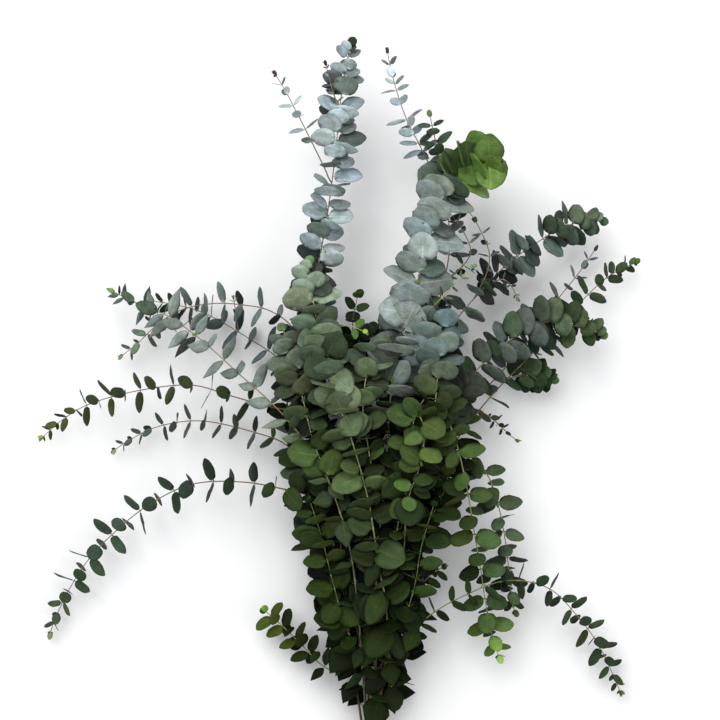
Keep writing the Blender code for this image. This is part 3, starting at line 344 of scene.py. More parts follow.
def ease_apart(curves: list[Curve]) -> None:
    """Moves the curves' points a little until no two stems are too near each other.

    Args:
        curves: All the curves, whose points are moved.
    """
    named = {c.sprig.name: c for c in curves}
    owner = np.concatenate([[k] * len(c.points) for k, c in enumerate(curves)])
    start = np.concatenate([c.points for c in curves])
    first = np.cumsum([0] + [len(c.points) for c in curves])
    halves = np.concatenate([[c.half(s) for s in c.along] for c in curves])
    free = np.clip((start[:, 1] - PINNED_Y) / (FREE_Y - PINNED_Y), 0, 1)
    mothers = [curves.index(named[c.sprig.parent]) if c.sprig.parent else -1 for c in curves]
    rooted = np.concatenate([c.along < JOINED_STRETCH for c in curves])
    shift = np.zeros_like(start)
    for _ in range(EASE_ROUNDS):
        now = start + shift
        tree = KDTree(len(now))
        for i, p in enumerate(now):
            tree.insert(p, i)
        tree.balance()
        push = np.zeros_like(now)
        for i, p in enumerate(now):
            if free[i] == 0:
                continue
            for q, j, distance in tree.find_range(p, EASE_REACH):
                joined = any(mothers[owner[a]] == owner[b] and rooted[a] for a, b in ((i, j), (j, i)))
                if owner[i] == owner[j] or joined:
                    continue
                need = halves[i] * 1.3 + halves[j] * 1.3 + STEM_GAP * free[i]
                if distance >= need:
                    continue
                away = p - np.array(q)
                if distance < 0.5:
                    away = np.array([0, 0, 1.0 if start[i][2] > start[j][2] else -1.0])
                push[i] += away / max(np.linalg.norm(away), 0.5) * (need - distance) * 0.4
        shift += push * free[:, None]
        for k, c in enumerate(curves):
            a, b = first[k], first[k + 1]
            part = shift[a:b].copy()
            part[1:-1] = part[1:-1] * 0.4 + (part[:-2] + part[2:]) * 0.3
            shift[a:b] = part * free[a:b, None]
            if c.sprig.parent:
                root = first[mothers[k]] + c.root_index
                gap = start[root] + shift[root] - (start[a] + shift[a])
                fade = np.clip(1 - c.along / ROOT_STRETCH, 0, 1)
                shift[a:b] += gap * fade[:, None]
        least = halves * CORNER_REACH + 1.0
        low = start[:, 2] + shift[:, 2] < least
        shift[low, 2] = least[low] - start[low, 2]
    for k, c in enumerate(curves):
        c.points = (start + shift)[first[k]:first[k + 1]]


def lift_off(child: Curve, mother: Curve) -> None:
    """Bends the first stretch of a shoot away from its mother, so that they stay apart.

    Args:
        child: The shoot, whose points are moved.
        mother: What it grows from.
    """
    s = float(mother.along[child.root_index])
    tangent, _, _ = mother.frame(s)
    root = mother.at(s)
    away = child.at(30) - root
    away = (away - tangent * away.dot(tangent)).normalized()
    reach = (mother.half(s) + child.half(0)) * CORNER_REACH + 1.6
    for k, (point, along) in enumerate(zip(child.points, child.along)):
        if along > ROOT_STRETCH:
            break
        p = Vector(point)
        ahead = mother.at(min(mother.length, s + (p - root).dot(tangent)))
        short = reach * min(1.0, along / 6.5) - (p - ahead).dot(away)
        if short > 0:
            child.points[k] = p + away * short


@dataclass
class Leaf:
    """One blade: where it grows, its three directions and its shape."""

    root: Vector
    along: Vector
    across: Vector
    normal: Vector
    length: float
    width: float
    curl: float
    cup: float
    corners: tuple = ()  # of the stem's side that it grows from

    def point(self, x: float, y: float, lift: float = 0.0) -> Vector:
        """A point of the blade: x from 0 at its base to 1 at its tip, y from -1 to 1 across it.

        Args:
            x: How far along it.
            y: How far across it.
            lift: The height over its middle.

        Returns:
            The point.
        """
        height = -self.curl * self.length * x * x + self.cup * self.width * y * y * x
        return (self.root + self.along * (PETIOLE + x * self.length) + self.across * (y * self.width / 2)
                + self.normal * (height + lift))

    def outline(self) -> list[tuple[float, float]]:
        """The corners of the blade's edge, from its base on one side round to the other."""
        side = next(side for least, side in OUTLINES if self.length >= least)
        return [*((x, -y) for x, y in side), *((x, y) for x, y in reversed(side) if y > 0)]

    def root_corners(self) -> list[Vector]:
        """The corners it grows from, turned so that the blade twists least.

        Returns:
            The four corners on the stem.
        """
        edge = self.outline()
        half = BLADE_THICKNESS / 2
        ends = [self.point(*edge[0], -half), self.point(*edge[-1], -half), self.point(*edge[-1], half),
                self.point(*edge[0], half)]
        turned = [[self.corners[(i + t) % 4] for i in range(4)] for t in range(4)]
        return min(turned, key=lambda corners: sum((a - b).length for a, b in zip(corners, ends)))

    def body(self, off: float = 0.0) -> tuple[list[Vector], list[tuple[int, ...]]]:
        """Points and faces of the blade with its open root, which off moves out from the stem.

        Args:
            off: How far its root is moved out, from 0 to 1.

        Returns:
            The points and the faces.
        """
        edge, half = self.outline(), BLADE_THICKNESS / 2
        root = self.root_corners()
        towards = [self.point(0, -0.3, -half), self.point(0, 0.3, -half), self.point(0, 0.3, half),
                   self.point(0, -0.3, half)]
        root = [a.lerp(b, off) for a, b in zip(root, towards)]
        over = [root[3], *(self.point(x, y, half) for x, y in edge), root[2]]
        under = [root[0], *(self.point(x, y, -half) for x, y in edge), root[1]]
        n = len(over)
        faces = [(a, c, b) for a, b, c in ladder(n)]
        faces += [(a + n, b + n, c + n) for a, b, c in ladder(n)]
        faces += [(k + n, k, k + 1, k + 1 + n) for k in range(n - 1)]
        return over + under, faces

    def is_sound(self) -> bool:
        """True if the blade nowhere cuts through itself.

        Returns:
            Whether no two of its faces cross.
        """
        points, faces = self.body()
        tree = BVHTree.FromPolygons(points, faces)
        return not any(not set(faces[a]) & set(faces[b]) for a, b in tree.overlap(tree))

    def hull(self, lift: float, grow: float = 1.0) -> tuple[list[Vector], list[tuple[int, ...]]]:
        """The blade as a thin closed body, for telling what it would touch.

        Args:
            lift: Half its thickness.
            grow: Its width over the blade's.

        Returns:
            The points and the faces.
        """
        edge = [(0.0, -0.12), *self.outline(), (0.0, 0.12)]
        top = [self.point(x, y * grow, lift) for x, y in edge]
        bottom = [self.point(x, y * grow, -lift) for x, y in edge]
        n = len(edge)
        faces = ladder(n) + [(a + n, c + n, b + n) for a, b, c in ladder(n)]
        faces += [(i, (i + 1) % n, (i + 1) % n + n, i + n) for i in range(n)]
        return top + bottom, faces


def ladder(n: int) -> list[tuple[int, int, int]]:
    """Triangles over a ring of n points, rung by rung from its open end to its far end.

    Args:
        n: How many points.

    Returns:
        The triangles, as the points' numbers.
    """
    low, high, found = 0, n - 1, []
    while high - low > 1:
        found.append((low, low + 1, high))
        low += 1
        if high - low > 1:
            found.append((low, high - 1, high))
            high -= 1
    return found


@dataclass
class Crowd:
    """All that is placed so far, so that what comes next stays clear of it."""

    tubes: list[tuple[str, BVHTree]] = field(default_factory=list)
    leaves: list[BVHTree] = field(default_factory=list)
    cells: dict[tuple[int, int, int], list[int]] = field(default_factory=dict)

    def add_tube(self, name: str, rings: list[list[Vector]]) -> None:
        """Adds the skin of a stem.

        Args:
            name: The sprig's name.
            rings: Its rings, from the foot up.
        """
        points = [p for ring in rings for p in ring]
        faces = []
        for k in range(len(rings) - 1):
            low, high = SIDES * k, SIDES * (k + 1)
            for i in range(SIDES):
                j = (i + 1) % SIDES
                faces.append((low + i, low + j, high + j, high + i))
        self.tubes.append((name, BVHTree.FromPolygons(points, faces)))

    def cells_of(self, leaf: Leaf) -> list[tuple[int, int, int]]:
        """The grid cells that a leaf reaches.

        Args:
            leaf: The leaf.

        Returns:
            The cells' numbers.
        """
        reach = leaf.length * 0.75
        c = leaf.point(0.5, 0)
        spans = [range(math.floor((v - reach) / CELL), math.floor((v + reach) / CELL) + 1) for v in c]
        return [(i, j, k) for i in spans[0] for j in spans[1] for k in spans[2]]

    def clear(self, leaf: Leaf, own: str) -> bool:
        """True if the leaf touches nothing, with room to spare.

        Args:
            leaf: The leaf to try.
            own: The name of the sprig that it grows on.

        Returns:
            Whether it may stay.
        """
        wide = BVHTree.FromPolygons(*leaf.hull(BLADE_THICKNESS / 2 + CLEARANCE, 1.06))
        for name, tube in self.tubes:
            if name != own and wide.overlap(tube):
                return False
        if not leaf.is_sound():
            return False
        for body in (leaf.body(ROOT_OFF), leaf.hull(BLADE_THICKNESS / 2 + OWN_CLEARANCE)):
            real = BVHTree.FromPolygons(*body)
            if any(name == own and real.overlap(tube) for name, tube in self.tubes):
                return False
        wide_root = BVHTree.FromPolygons(*leaf.body())
        if any(name != own and wide_root.overlap(tube) for name, tube in self.tubes):
            return False
        return not any(tree.overlap(other) for other in self.near(leaf) for tree in (wide, wide_root))

    def clear_loosely(self, leaf: Leaf, own: str) -> bool:
        """True if an added leaf cuts through nothing but its own stem.

        Args:
            leaf: The leaf to try.
            own: The name of the sprig that it grows on.

        Returns:
            Whether it may stay.
        """
        tree = BVHTree.FromPolygons(*leaf.hull(BLADE_THICKNESS / 2 + LOOSE_CLEARANCE))
        if any(name != own and tree.overlap(tube) for name, tube in self.tubes):
            return False
        return not any(tree.overlap(other) for other in self.near(leaf))

    def near(self, leaf: Leaf) -> list[BVHTree]:
        """The leaves already placed that share a grid cell with this one."""
        found = sorted({k for cell in self.cells_of(leaf) for k in self.cells.get(cell, ())})
        return [self.leaves[k] for k in found]

    def add(self, leaf: Leaf) -> None:
        """Adds a leaf, in full where it has a root of its own and else as a thin closed body.

        Args:
            leaf: The leaf.
        """
        body = leaf.body() if leaf.corners else leaf.hull(BLADE_THICKNESS / 2)
        self.leaves.append(BVHTree.FromPolygons(*body))
        for cell in self.cells_of(leaf):
            self.cells.setdefault(cell, []).append(len(self.leaves) - 1)


def grown_leaf(curve: Curve, s: float, roll: float, corners: tuple, draw: random.Random,
               nudge: float = 0.0, scale: float = 1.0) -> Leaf | None:
    """A leaf on the curve at distance s, turned to the angle roll round the stem.

    Args:
        curve: The sprig's curve.
        s: The distance along it.
        roll: The angle round it.
        corners: Where the leaf joins the stem.
        draw: Its source of chance.
        nudge: How far it may leave the rule, from 0 to 1.
        scale: Its size over the rule's.

    Returns:
        The leaf, or None where it would pass through the surface.
    """
    sprig = curve.sprig
    from_tip = curve.length - s
    age = min(1.0, 0.3 + 0.7 * (from_tip / sprig.grown) ** 0.8)
    tangent, across, over = curve.frame(s)
    roll += nudge * draw.uniform(-0.6, 0.6)
    radial = across * math.cos(roll) + over * math.sin(roll)
    lean = math.radians(LEAN_GROWN if age > 0.7 else LEAN_YOUNG)
    lean += draw.uniform(-0.2, 0.2) + nudge * draw.uniform(-0.45, 0.3)
    along = tangent * math.cos(lean) + radial * math.sin(lean)
    along.z *= 1 - 0.55 * sprig.face * draw.uniform(0.4, 1.2)
    along.normalize()
    normal = (tangent * math.sin(lean) - radial * math.cos(lean)).normalized()
    normal = (normal - along * normal.dot(along)).normalized()
    upward = UP - along * UP.dot(along)
    turn = 1.0 if normal.dot(upward) >= -0.08 else -1.0
    if abs(normal.dot(upward)) < 0.3 and draw.random() < 0.2:
        turn = -turn
    face = sprig.face * draw.uniform(0.5, 1.4) * (1 + nudge * draw.uniform(-0.5, 0.5))
    normal = (normal + upward * turn * face).normalized()
    length = sprig.leaf * age * draw.uniform(0.86, 1.08) * scale
    width = length * sprig.broad * draw.uniform(0.92, 1.1)
    leaf = Leaf(curve.at(s) + radial * curve.half(s), along, normal.cross(along), normal, length, width,
                draw.uniform(-0.05, 0.14), draw.uniform(0.0, 0.1), corners)
    return pressed(leaf)


def lowest(leaf: Leaf) -> float:
    """The blade's lowest height."""
    return min(leaf.point(x, y, -BLADE_THICKNESS / 2).z for x, y in [(0, 0), *leaf.outline()])


def pressed(leaf: Leaf) -> Leaf | None:
    """A leaf that would pass through the surface is laid over until it just touches it.

    Args:
        leaf: The leaf.

    Returns:
        The leaf as it lies, or None where it can't.
    """
    if lowest(leaf) >= FLOOR_GAP:
        return leaf
    level = Vector((leaf.along.x, leaf.along.y, 0.02)).normalized()
    facing = UP if leaf.normal.z >= 0 else -UP
    low, high, best = 0.0, 1.0, None
    for _ in range(12):
        share = (low + high) / 2
        along = leaf.along.lerp(level, share).normalized()
        normal = leaf.normal.lerp(facing, share)
        normal = (normal - along * normal.dot(along)).normalized()
        tried = Leaf(leaf.root, along, normal.cross(along), normal, leaf.length, leaf.width,
                     leaf.curl * (1 - share), leaf.cup * (1 - share), leaf.corners)
        if lowest(tried) >= FLOOR_GAP:
            high, best = share, tried
        else:
            low = share
    return best


def placed_leaf(crowd: Crowd, curve: Curve, joint: Joint, which: int,
                draw: random.Random) -> Leaf | None:
    """The first way of growing a leaf here that touches nothing, or None.

    Args:
        crowd: All that is placed so far.
        curve: The sprig's curve.
        joint: The pair.
        which: Which of the two.
        draw: Its source of chance.

    Returns:
        The leaf, or None.
    """
    roll = joint.roll + which * math.pi
    for attempt in range(TRIES):
        nudge = min(1.0, attempt / 6)
        scale = 1.0 if attempt < SHRINK_AFTER else SHRUNK
        leaf = grown_leaf(curve, joint.s, roll, joint.corners[which], draw, nudge, scale)
        if leaf is not None and leaf.length >= SMALLEST_LEAF and crowd.clear(leaf, curve.sprig.name):
            crowd.add(leaf)
            return leaf
    return None


class JointKind(Enum):
    """What a joint is."""

    BEND = "bend"
    PAIR = "pair"
    SHOOT = "shoot"


@dataclass
class Joint:
    """A place along a stem: a plain bend, a leaf pair or the root of a shoot."""

    s: float
    kind: JointKind
    depth: float = 0.0  # half its extent along the stem
    roll: float = 0.0
    corners: tuple = ()  # of the stem's sides that its leaves grow from
    shoot: Curve | None = None


def joints_of(curve: Curve, shoots: list[Curve]) -> list[Joint]:
    """The leaf pairs and shoots of a stem in order, with room between them.

    Pairs are close together at the tip and at the sprig's own spacing below. Low down inside the bunch
    the solids keep each third pair, and the others are spare.

    Args:
        curve: The stem's curve.
        shoots: The shoots that grow from it.

    Returns:
        The joints.
    """
    draw = random.Random(f"{SEED} {curve.sprig.name}")
    found = []
    for child in shoots:
        s = float(curve.along[child.root_index])
        tangent, across, over = curve.frame(s)
        way = child.at(14) - child.at(0)
        roll = math.atan2(way.dot(over), way.dot(across))
        found.append(Joint(s, JointKind.SHOOT, SHOOT_HALF, roll, shoot=child))
    sprig, low = curve.sprig, 0.0 if curve.sprig.parent else -CUT_ENDS_Y
    distances, s = [], curve.length - 3.0
    while s > sprig.first + low:
        distances.append(s)
        s -= sprig.spacing * min(1.0, 0.5 + 0.5 * (curve.length - s) / CLOSER_FROM)
    roll = draw.uniform(-0.35, 0.35)
    for index, s in enumerate(distances):
        roll += math.pi / 2 + draw.uniform(-0.18, 0.22)
        depth = min(0.9, curve.half(s) * 0.55)
        for other in found:
            if other.kind == JointKind.SHOOT and abs(other.s - s) < 5:
                s = other.s - SHOOT_HALF - depth - 1.2
        pair = Joint(s, JointKind.PAIR, depth, roll)
        (found if s >= sprig.full + low or index % 3 == 0 else curve.spare).append(pair)
    return sorted(found, key=lambda joint: joint.s)


def bend_between(curve: Curve, a: float, b: float) -> list[Joint]:
    """The bends that a stretch of stem needs to follow its curve.

    Args:
        curve: The stem's curve.
        a: Where the stretch starts.
        b: Where it ends.

    Returns:
        The bends.
    """
    worst, where = 0.0, None
    for k in range(1, 8):
        s = a + (b - a) * k / 8
        off = (curve.at(s) - curve.at(a).lerp(curve.at(b), k / 8)).length
        if off > worst:
            worst, where = off, s
    in_bundle = not curve.sprig.parent and a < BUNDLE_REACH - CUT_ENDS_Y
    if worst < (BUNDLE_TOLERANCE if in_bundle else BEND_TOLERANCE):
        return []
    return [*bend_between(curve, a, where), Joint(where, JointKind.BEND), *bend_between(curve, where, b)]


def with_bends(curve: Curve, joints: list[Joint]) -> list[Joint]:
    """Adds plain bends to the joints, where the stem would leave its curve without them.

    Args:
        curve: The stem's curve.
        joints: Its pairs and shoots.

    Returns:
        All the joints, in order.
    """
    if curve.sprig.parent:
        stops = [Joint(curve.starts_at, JointKind.BEND), *joints, Joint(curve.length, JointKind.BEND)]
    else:
        tie = [Joint(y - CUT_ENDS_Y, JointKind.BEND) for y in (-PINNED_Y, 2 * PINNED_Y)]
        stops = [Joint(0.0, JointKind.BEND), *tie, *joints, Joint(curve.length, JointKind.BEND)]
    found = [stops[0]]
    for before, after in zip(stops, stops[1:]):
        found += [*bend_between(curve, before.s, after.s), after]
    return found


def ring_at(curve: Curve, s: float, roll: float) -> list[Vector]:
    """The corners of the stem's section at distance s, whose first side faces the angle roll.

    Args:
        curve: The stem's curve.
        s: The distance along it.
        roll: The angle.

    Returns:
        The corners.
    """
    tangent, across, over = curve.frame(s)
    reach = curve.half(s) * CORNER_REACH
    centre = curve.at(s)
    angles = [roll + (k + 0.5) * TURN for k in range(SIDES)]
    return [centre + (across * math.cos(a) + over * math.sin(a)) * reach for a in angles]


def side_facing(roll: float, angle: float) -> int:
    """The side of a section turned to roll that faces an angle."""
    return round((angle - roll) / TURN) % SIDES


def best_match(base: Sequence[Vector], ring: Sequence[Vector]) -> float:
    """How near a ring of three corners can be laid onto four, as the least total distance.

    Args:
        base: The four corners.
        ring: The three.

    Returns:
        The distance.
    """
    options = []
    for double in range(4):
        for turn in range(SIDES):
            pairs = [(base[(double + i) % 4], ring[(turn - max(0, i - 1)) % SIDES]) for i in range(4)]
            options.append(sum((a - b).length for a, b in pairs))
    return min(options)


def first_roll(curve: Curve, base: Sequence[Vector] | None) -> float:
    """The roll of a shoot's first ring that lies best on the side it grows from.

    Args:
        curve: The shoot's curve.
        base: The side's four corners, or None for a stem.

    Returns:
        The angle.
    """
    if base is None:
        return 0.0
    rolls = [k * TURN / 12 for k in range(12)]
    return min(rolls, key=lambda roll: best_match(base, ring_at(curve, curve.starts_at, roll)))


def rings_of(curve: Curve, base: Sequence[Vector] | None = None) -> list[list[Vector]]:
    """Every ring along the stem; its joints get the corners that their leaves and shoots start at.

    Args:
        curve: The stem's curve.
        base: The corners that a shoot starts at.

    Returns:
        The rings, from the foot up.
    """
    rings, roll = [], first_roll(curve, base)
    for joint in curve.joints:
        if joint.kind == JointKind.BEND:
            rings.append(ring_at(curve, joint.s, roll))
            continue
        lean = math.pi / 6 if joint.kind == JointKind.PAIR else 0.0
        turns = [(joint.roll + way * lean, way) for way in (1, -1)]
        roll, way = min(((round((roll - turn) / TURN) * TURN + turn, way) for turn, way in turns),
                        key=lambda option: abs(option[0] - roll))
        sides = [side_facing(roll, joint.roll + way * lean)]
        if joint.kind == JointKind.PAIR:
            sides.append(side_facing(roll, joint.roll + way * (math.pi - lean)))
        lower, upper = (ring_at(curve, joint.s + end * joint.depth, roll) for end in (-1, 1))
        joint.corners = tuple((lower[i], lower[i - 1], upper[i - 1], upper[i]) for i in sides)
        rings += [lower, upper]
    return rings


def folded_leaf(curve: Curve, s: float, turn: float, lean: float, out: float,
                size: tuple[float, float, float]) -> Leaf:
    """A tiny leaf that is still half folded.

    Args:
        curve: The curve that it grows on.
        s: The distance along it.
        turn: The angle round it.
        lean: The leaf's angle from it.
        out: How far from the centreline it starts.
        size: Its length, breadth and cup.

    Returns:
        The leaf.
    """
    tangent, across, over = curve.frame(s)
    radial = across * math.cos(turn) + over * math.sin(turn)
    along = (tangent * math.cos(lean) + radial * math.sin(lean)).normalized()
    normal = (tangent * math.sin(lean) - radial * math.cos(lean)).normalized()
    length, width, cup = size
    return Leaf(curve.at(s) + radial * out, along, normal.cross(along), normal, length, width, -0.1, cup)


# Sprigs that only the dressed model has
TWIGS = (
    Sprig("twig_left_tall", 12, 0.5, 0.5, 17, 60, 14, parent="stem_left_back", points=(
        (-156, 473, 33), (-158, 484, 42), (-161, 500, 50), (-163, 514, 54))),
    Sprig("twig_tall_side", 9, 0.5, 0.5, 10, 30, 8, parent="stem_tall", points=(
        (-41, 730, 86), (-48, 748, 90), (-56, 778, 92))),
    Sprig("twig_top_one", 14, 0.55, 0.5, 14, 40, 12, parent="stem_top_thin", points=(
        (78, 530, 62), (98, 548, 74), (109, 566, 80), (100, 590, 84), (82, 614, 86))),
    Sprig("twig_top_two", 12, 0.5, 0.5, 14, 40, 12, parent="stem_right_upper", points=(
        (112, 510, 59), (127, 540, 72), (130, 566, 80), (116, 598, 84), (105, 614, 84))),
    Sprig("twig_middle", 13, 0.55, 0.5, 15, 40, 12, parent="stem_large_leaf", points=(
        (36, 490, 110), (56, 496, 122), (76, 514, 126), (95, 534, 124), (110, 547, 120))),
    Sprig("twig_right_tip", 10, 0.5, 0.5, 12, 30, 10, parent="stem_right_upper", points=(
        (128, 528, 61), (146, 535, 72), (156, 526, 78), (162, 514, 80))),
)

# Sprigs that carry more pairs than their solids: from what distance on, and how many of the gaps
DENSE = {
    "stem_tall": (480.0, 0.75),
    "stem_large_leaf": (420.0, 0.9),
    "stem_front": (300.0, 0.7),
    "stem_right_grey": (480.0, 0.8),
    "stem_right_upper": (625.0, 0.9),
    "stem_right_long": (500.0, 0.6),
    "stem_left_upper": (420.0, 0.5),
    "stem_top_thin": (600.0, 0.3),
    "shoot_mid_front": (40.0, 0.8),
    "shoot_mid_left": (40.0, 0.8),
    "shoot_mid_right": (40.0, 0.8),
    "shoot_right_cluster": (10.0, 0.9),
}
BODY_LOW, BODY_HIGH = 14.0, 480.0
# Sprigs that lie on top of the body
FRONTS = ("stem_fall_front", "stem_front", "shoot_mid_front", "shoot_mid_left", "shoot_mid_right",
          "shoot_low_mid", "stem_left_upper", "stem_fall_right", "stem_left_long", "stem_large_leaf")
# Sprigs with tiny new leaves in the angles of their pairs
BUDDING = ("stem_front", "stem_fall_front", "stem_fall_right", "stem_large_leaf", "shoot_mid_front",
           "shoot_mid_left", "shoot_mid_right", "shoot_low_mid", "stem_left_upper", "stem_fall_side")
# How far the body of the bunch reaches to the left and right at some distances along it
BODY_EDGE = ((14, -28, 24), (40, -40, 28), (60, -55, 36), (110, -58, 48), (165, -84, 66), (200, -88, 68),
             (240, -98, 62), (280, -104, 74), (330, -100, 85), (400, -104, 100), (480, -90, 104))
# Painted shade: share of the light taken out of the leaves' colour at some distances along the bunch
LOW_SHADE = ((0, 60, 150, 250, 330, 400, 470, 540), (0.88, 0.76, 0.6, 0.45, 0.2, 0.1, 0.1, 0.0))

# Large leaves that show up most, by sprig: x, y, height, way that they point, length and breadth
GIVEN_LEAVES = {
    "stem_large_leaf": (
        (129, 665, 104, 94, 30, 31), (129, 664, 101, -86, 31, 31), (107, 658, 97, 100, 33, 33),
        (105, 670, 95, -74, 33, 33), (88, 655, 91, 106, 28, 28), (89, 653, 89, -70, 30, 32),
        (75, 644, 86, 150, 31, 33), (77, 642, 84, -40, 31, 33),
        (26, 456, 109, 184, 38, 36), (27, 456, 109, -4, 42, 33), (19, 418, 105, 125, 44, 34),
        (20, 416, 105, 60, 32, 22), (31, 476, 110, 66, 36, 42), (30, 474, 110, 235, 32, 30),
        (36, 496, 111, 170, 34, 32),
    ),
    "stem_right_grey": ((84, 408, 81, 105, 42, 25), (92, 415, 84, -8, 38, 24)),
    "stem_front": (
        (-62, 470, 130, 200, 27, 26), (-62, 470, 130, 35, 26, 26), (-55, 446, 132, 62, 33, 35),
        (-52, 442, 133, 205, 31, 33), (-50, 425, 133, -35, 31, 31), (-42, 400, 134, 165, 28, 27),
        (-42, 399, 134, 15, 27, 31), (-34, 382, 134, -60, 27, 29), (-35, 384, 134, 120, 27, 30),
    ),
}


@dataclass
class Layout:
    """The whole bunch: its curves, with the leaves of the solids and those that only show here."""

    added_tries: int = 10  # ways of growing a leaf that only shows here
    body_tries: int = 9  # ways of growing one that may point any way
    body_half: float = 110.0  # distance from the middle line that counts as the body
    body_gaps: tuple[float, float] = (5, 11)  # between leaves on the stems inside the body
    body_lengths: tuple[float, float] = (24, 33)
    front_gaps: tuple[float, float] = (9, 18)  # between leaves that lie over the stems on top
    front_lengths: tuple[float, float] = (23, 31)
    top_share: float = 0.45  # of the body's leaves that grow from the top of their stem
    bud_share: float = 0.45  # of the pairs that have buds
    bud_lengths: tuple[float, float] = (3.5, 7.5)
    tip_pairs: tuple = ((0.2, 4.2), (1.6, 6.0))  # distance from the tip, and length

    def __post_init__(self) -> None:
        """Grows the bunch; what only shows here comes after the leaves of the solids."""
        self.curves = [Curve(sprig, smooth_route(route_of(sprig))) for sprig in SPRIGS]
        self.named = {c.sprig.name: c for c in self.curves}
        self.crowd = Crowd()
        self.blades: list[tuple[Curve, float, Leaf]] = []
        self.settle_curves()
        self.grow_leaves()
        self.grow_twigs()
        self.grow_spares()
        self.grow_between()
        self.grow_given()
        self.cover_fronts()
        self.fill_body()
        self.grow_buds()
        self.grow_tips()

    def settle_curves(self) -> None:
        """Moves the curves apart and finds their joints and rings, as the solids do."""
        for c in self.curves:
            c.measure()
            if c.sprig.parent:
                c.root_index = root_on(self.named[c.sprig.parent], c.sprig.points[0])
        ease_apart(self.curves)
        for c in self.curves:
            c.measure()
        for c in self.curves:
            if c.sprig.parent:
                mother = self.named[c.sprig.parent]
                lift_off(c, mother)
                c.measure()
                c.starts_at = (mother.half(float(mother.along[c.root_index])) + c.half(0)) * CORNER_REACH
        bases = {}
        for c in self.curves:
            shoots = [x for x in self.curves if x.sprig.parent == c.sprig.name]
            c.joints = with_bends(c, joints_of(c, shoots))
            rings = rings_of(c, bases.get(c.sprig.name))
            for joint in c.joints:
                if joint.kind == JointKind.SHOOT:
                    bases[joint.shoot.sprig.name] = joint.corners[0]
            root = [ring_at(c, 0.0, 0.0)] if c.sprig.parent else []
            self.crowd.add_tube(c.sprig.name, root + rings)

    def grow_leaves(self) -> None:
        """Grows the leaves of the solids, those that the solids then thin out among them."""
        for c in self.curves:
            draw = random.Random(f"{SEED} leaves {c.sprig.name}")
            for joint in c.joints:
                if joint.kind == JointKind.PAIR:
                    leaves = [placed_leaf(self.crowd, c, joint, which, draw) for which in (0, 1)]
                    self.blades += [(c, joint.s, leaf) for leaf in leaves if leaf]

    def keep(self, curve: Curve, s: float, leaf: Leaf) -> None:
        """Keeps a leaf that only shows here."""
        self.crowd.add(leaf)
        self.blades.append((curve, s, leaf))

    def try_leaf(self, curve: Curve, s: float, roll: float, draw: random.Random,
                 scale: float = 1.0) -> None:
        """Adds one leaf that only shows here, if a way of growing it touches nothing.

        Args:
            curve: The sprig that it grows on.
            s: The distance along it.
            roll: The angle round it.
            draw: Its source of chance.
            scale: Its size over that of a leaf of the solids.
        """
        for attempt in range(self.added_tries):
            nudge = min(1.0, attempt / 4)
            leaf = grown_leaf(curve, s, roll, (), draw, nudge, scale * (1.0 if attempt < 6 else 0.8))
            if leaf is not None and leaf.length > 4 and self.crowd.clear_loosely(leaf, curve.sprig.name):
                self.keep(curve, s, leaf)
                return

    def grow_twigs(self) -> None:
        """Adds the small sprigs that the solids leave out."""
        for sprig in TWIGS:
            mother = self.named[sprig.parent]
            curve = Curve(sprig, smooth_route(sprig.points, 4.0))
            curve.root_index = root_on(mother, sprig.points[0])
            gap = mother.points[curve.root_index] - curve.points[0]
            curve.measure()
            curve.points = curve.points + gap * np.clip(1 - curve.along / 30, 0, 1)[:, None]
            curve.measure()
            self.curves.append(curve)
            self.named[sprig.name] = curve
            draw = random.Random(f"{SEED} twig {sprig.name}")
            roll = draw.uniform(0, 3)
            s = curve.length - 4
            while s > sprig.first:
                for side in (0, math.pi):
                    self.try_leaf(curve, s, roll + side, draw)
                s -= sprig.spacing
                roll += math.pi / 2

    def grow_spares(self) -> None:
        """Grows the pairs that the solids leave out low down inside the bunch."""
        for c in self.curves:
            draw = random.Random(f"{SEED} spare {c.sprig.name}")
            for joint in c.spare:
                for side in (0, math.pi):
                    self.try_leaf(c, joint.s, joint.roll + side, draw)

    def grow_between(self) -> None:
        """Adds pairs half way between those of the sprigs that are denser than their solids."""
        for c in self.curves:
            if c.sprig.name not in DENSE:
                continue
            start, share = DENSE[c.sprig.name]
            draw = random.Random(f"{SEED} between {c.sprig.name}")
            pairs = [joint for joint in c.joints if joint.kind == JointKind.PAIR]
            for a, b in zip(pairs, pairs[1:]):
                if a.s > start and draw.random() < share:
                    roll = (a.roll + b.roll) / 2 + draw.uniform(-0.2, 0.2)
                    for side in (0, math.pi):
                        self.try_leaf(c, (a.s + b.s) / 2, roll + side, draw, 0.92)

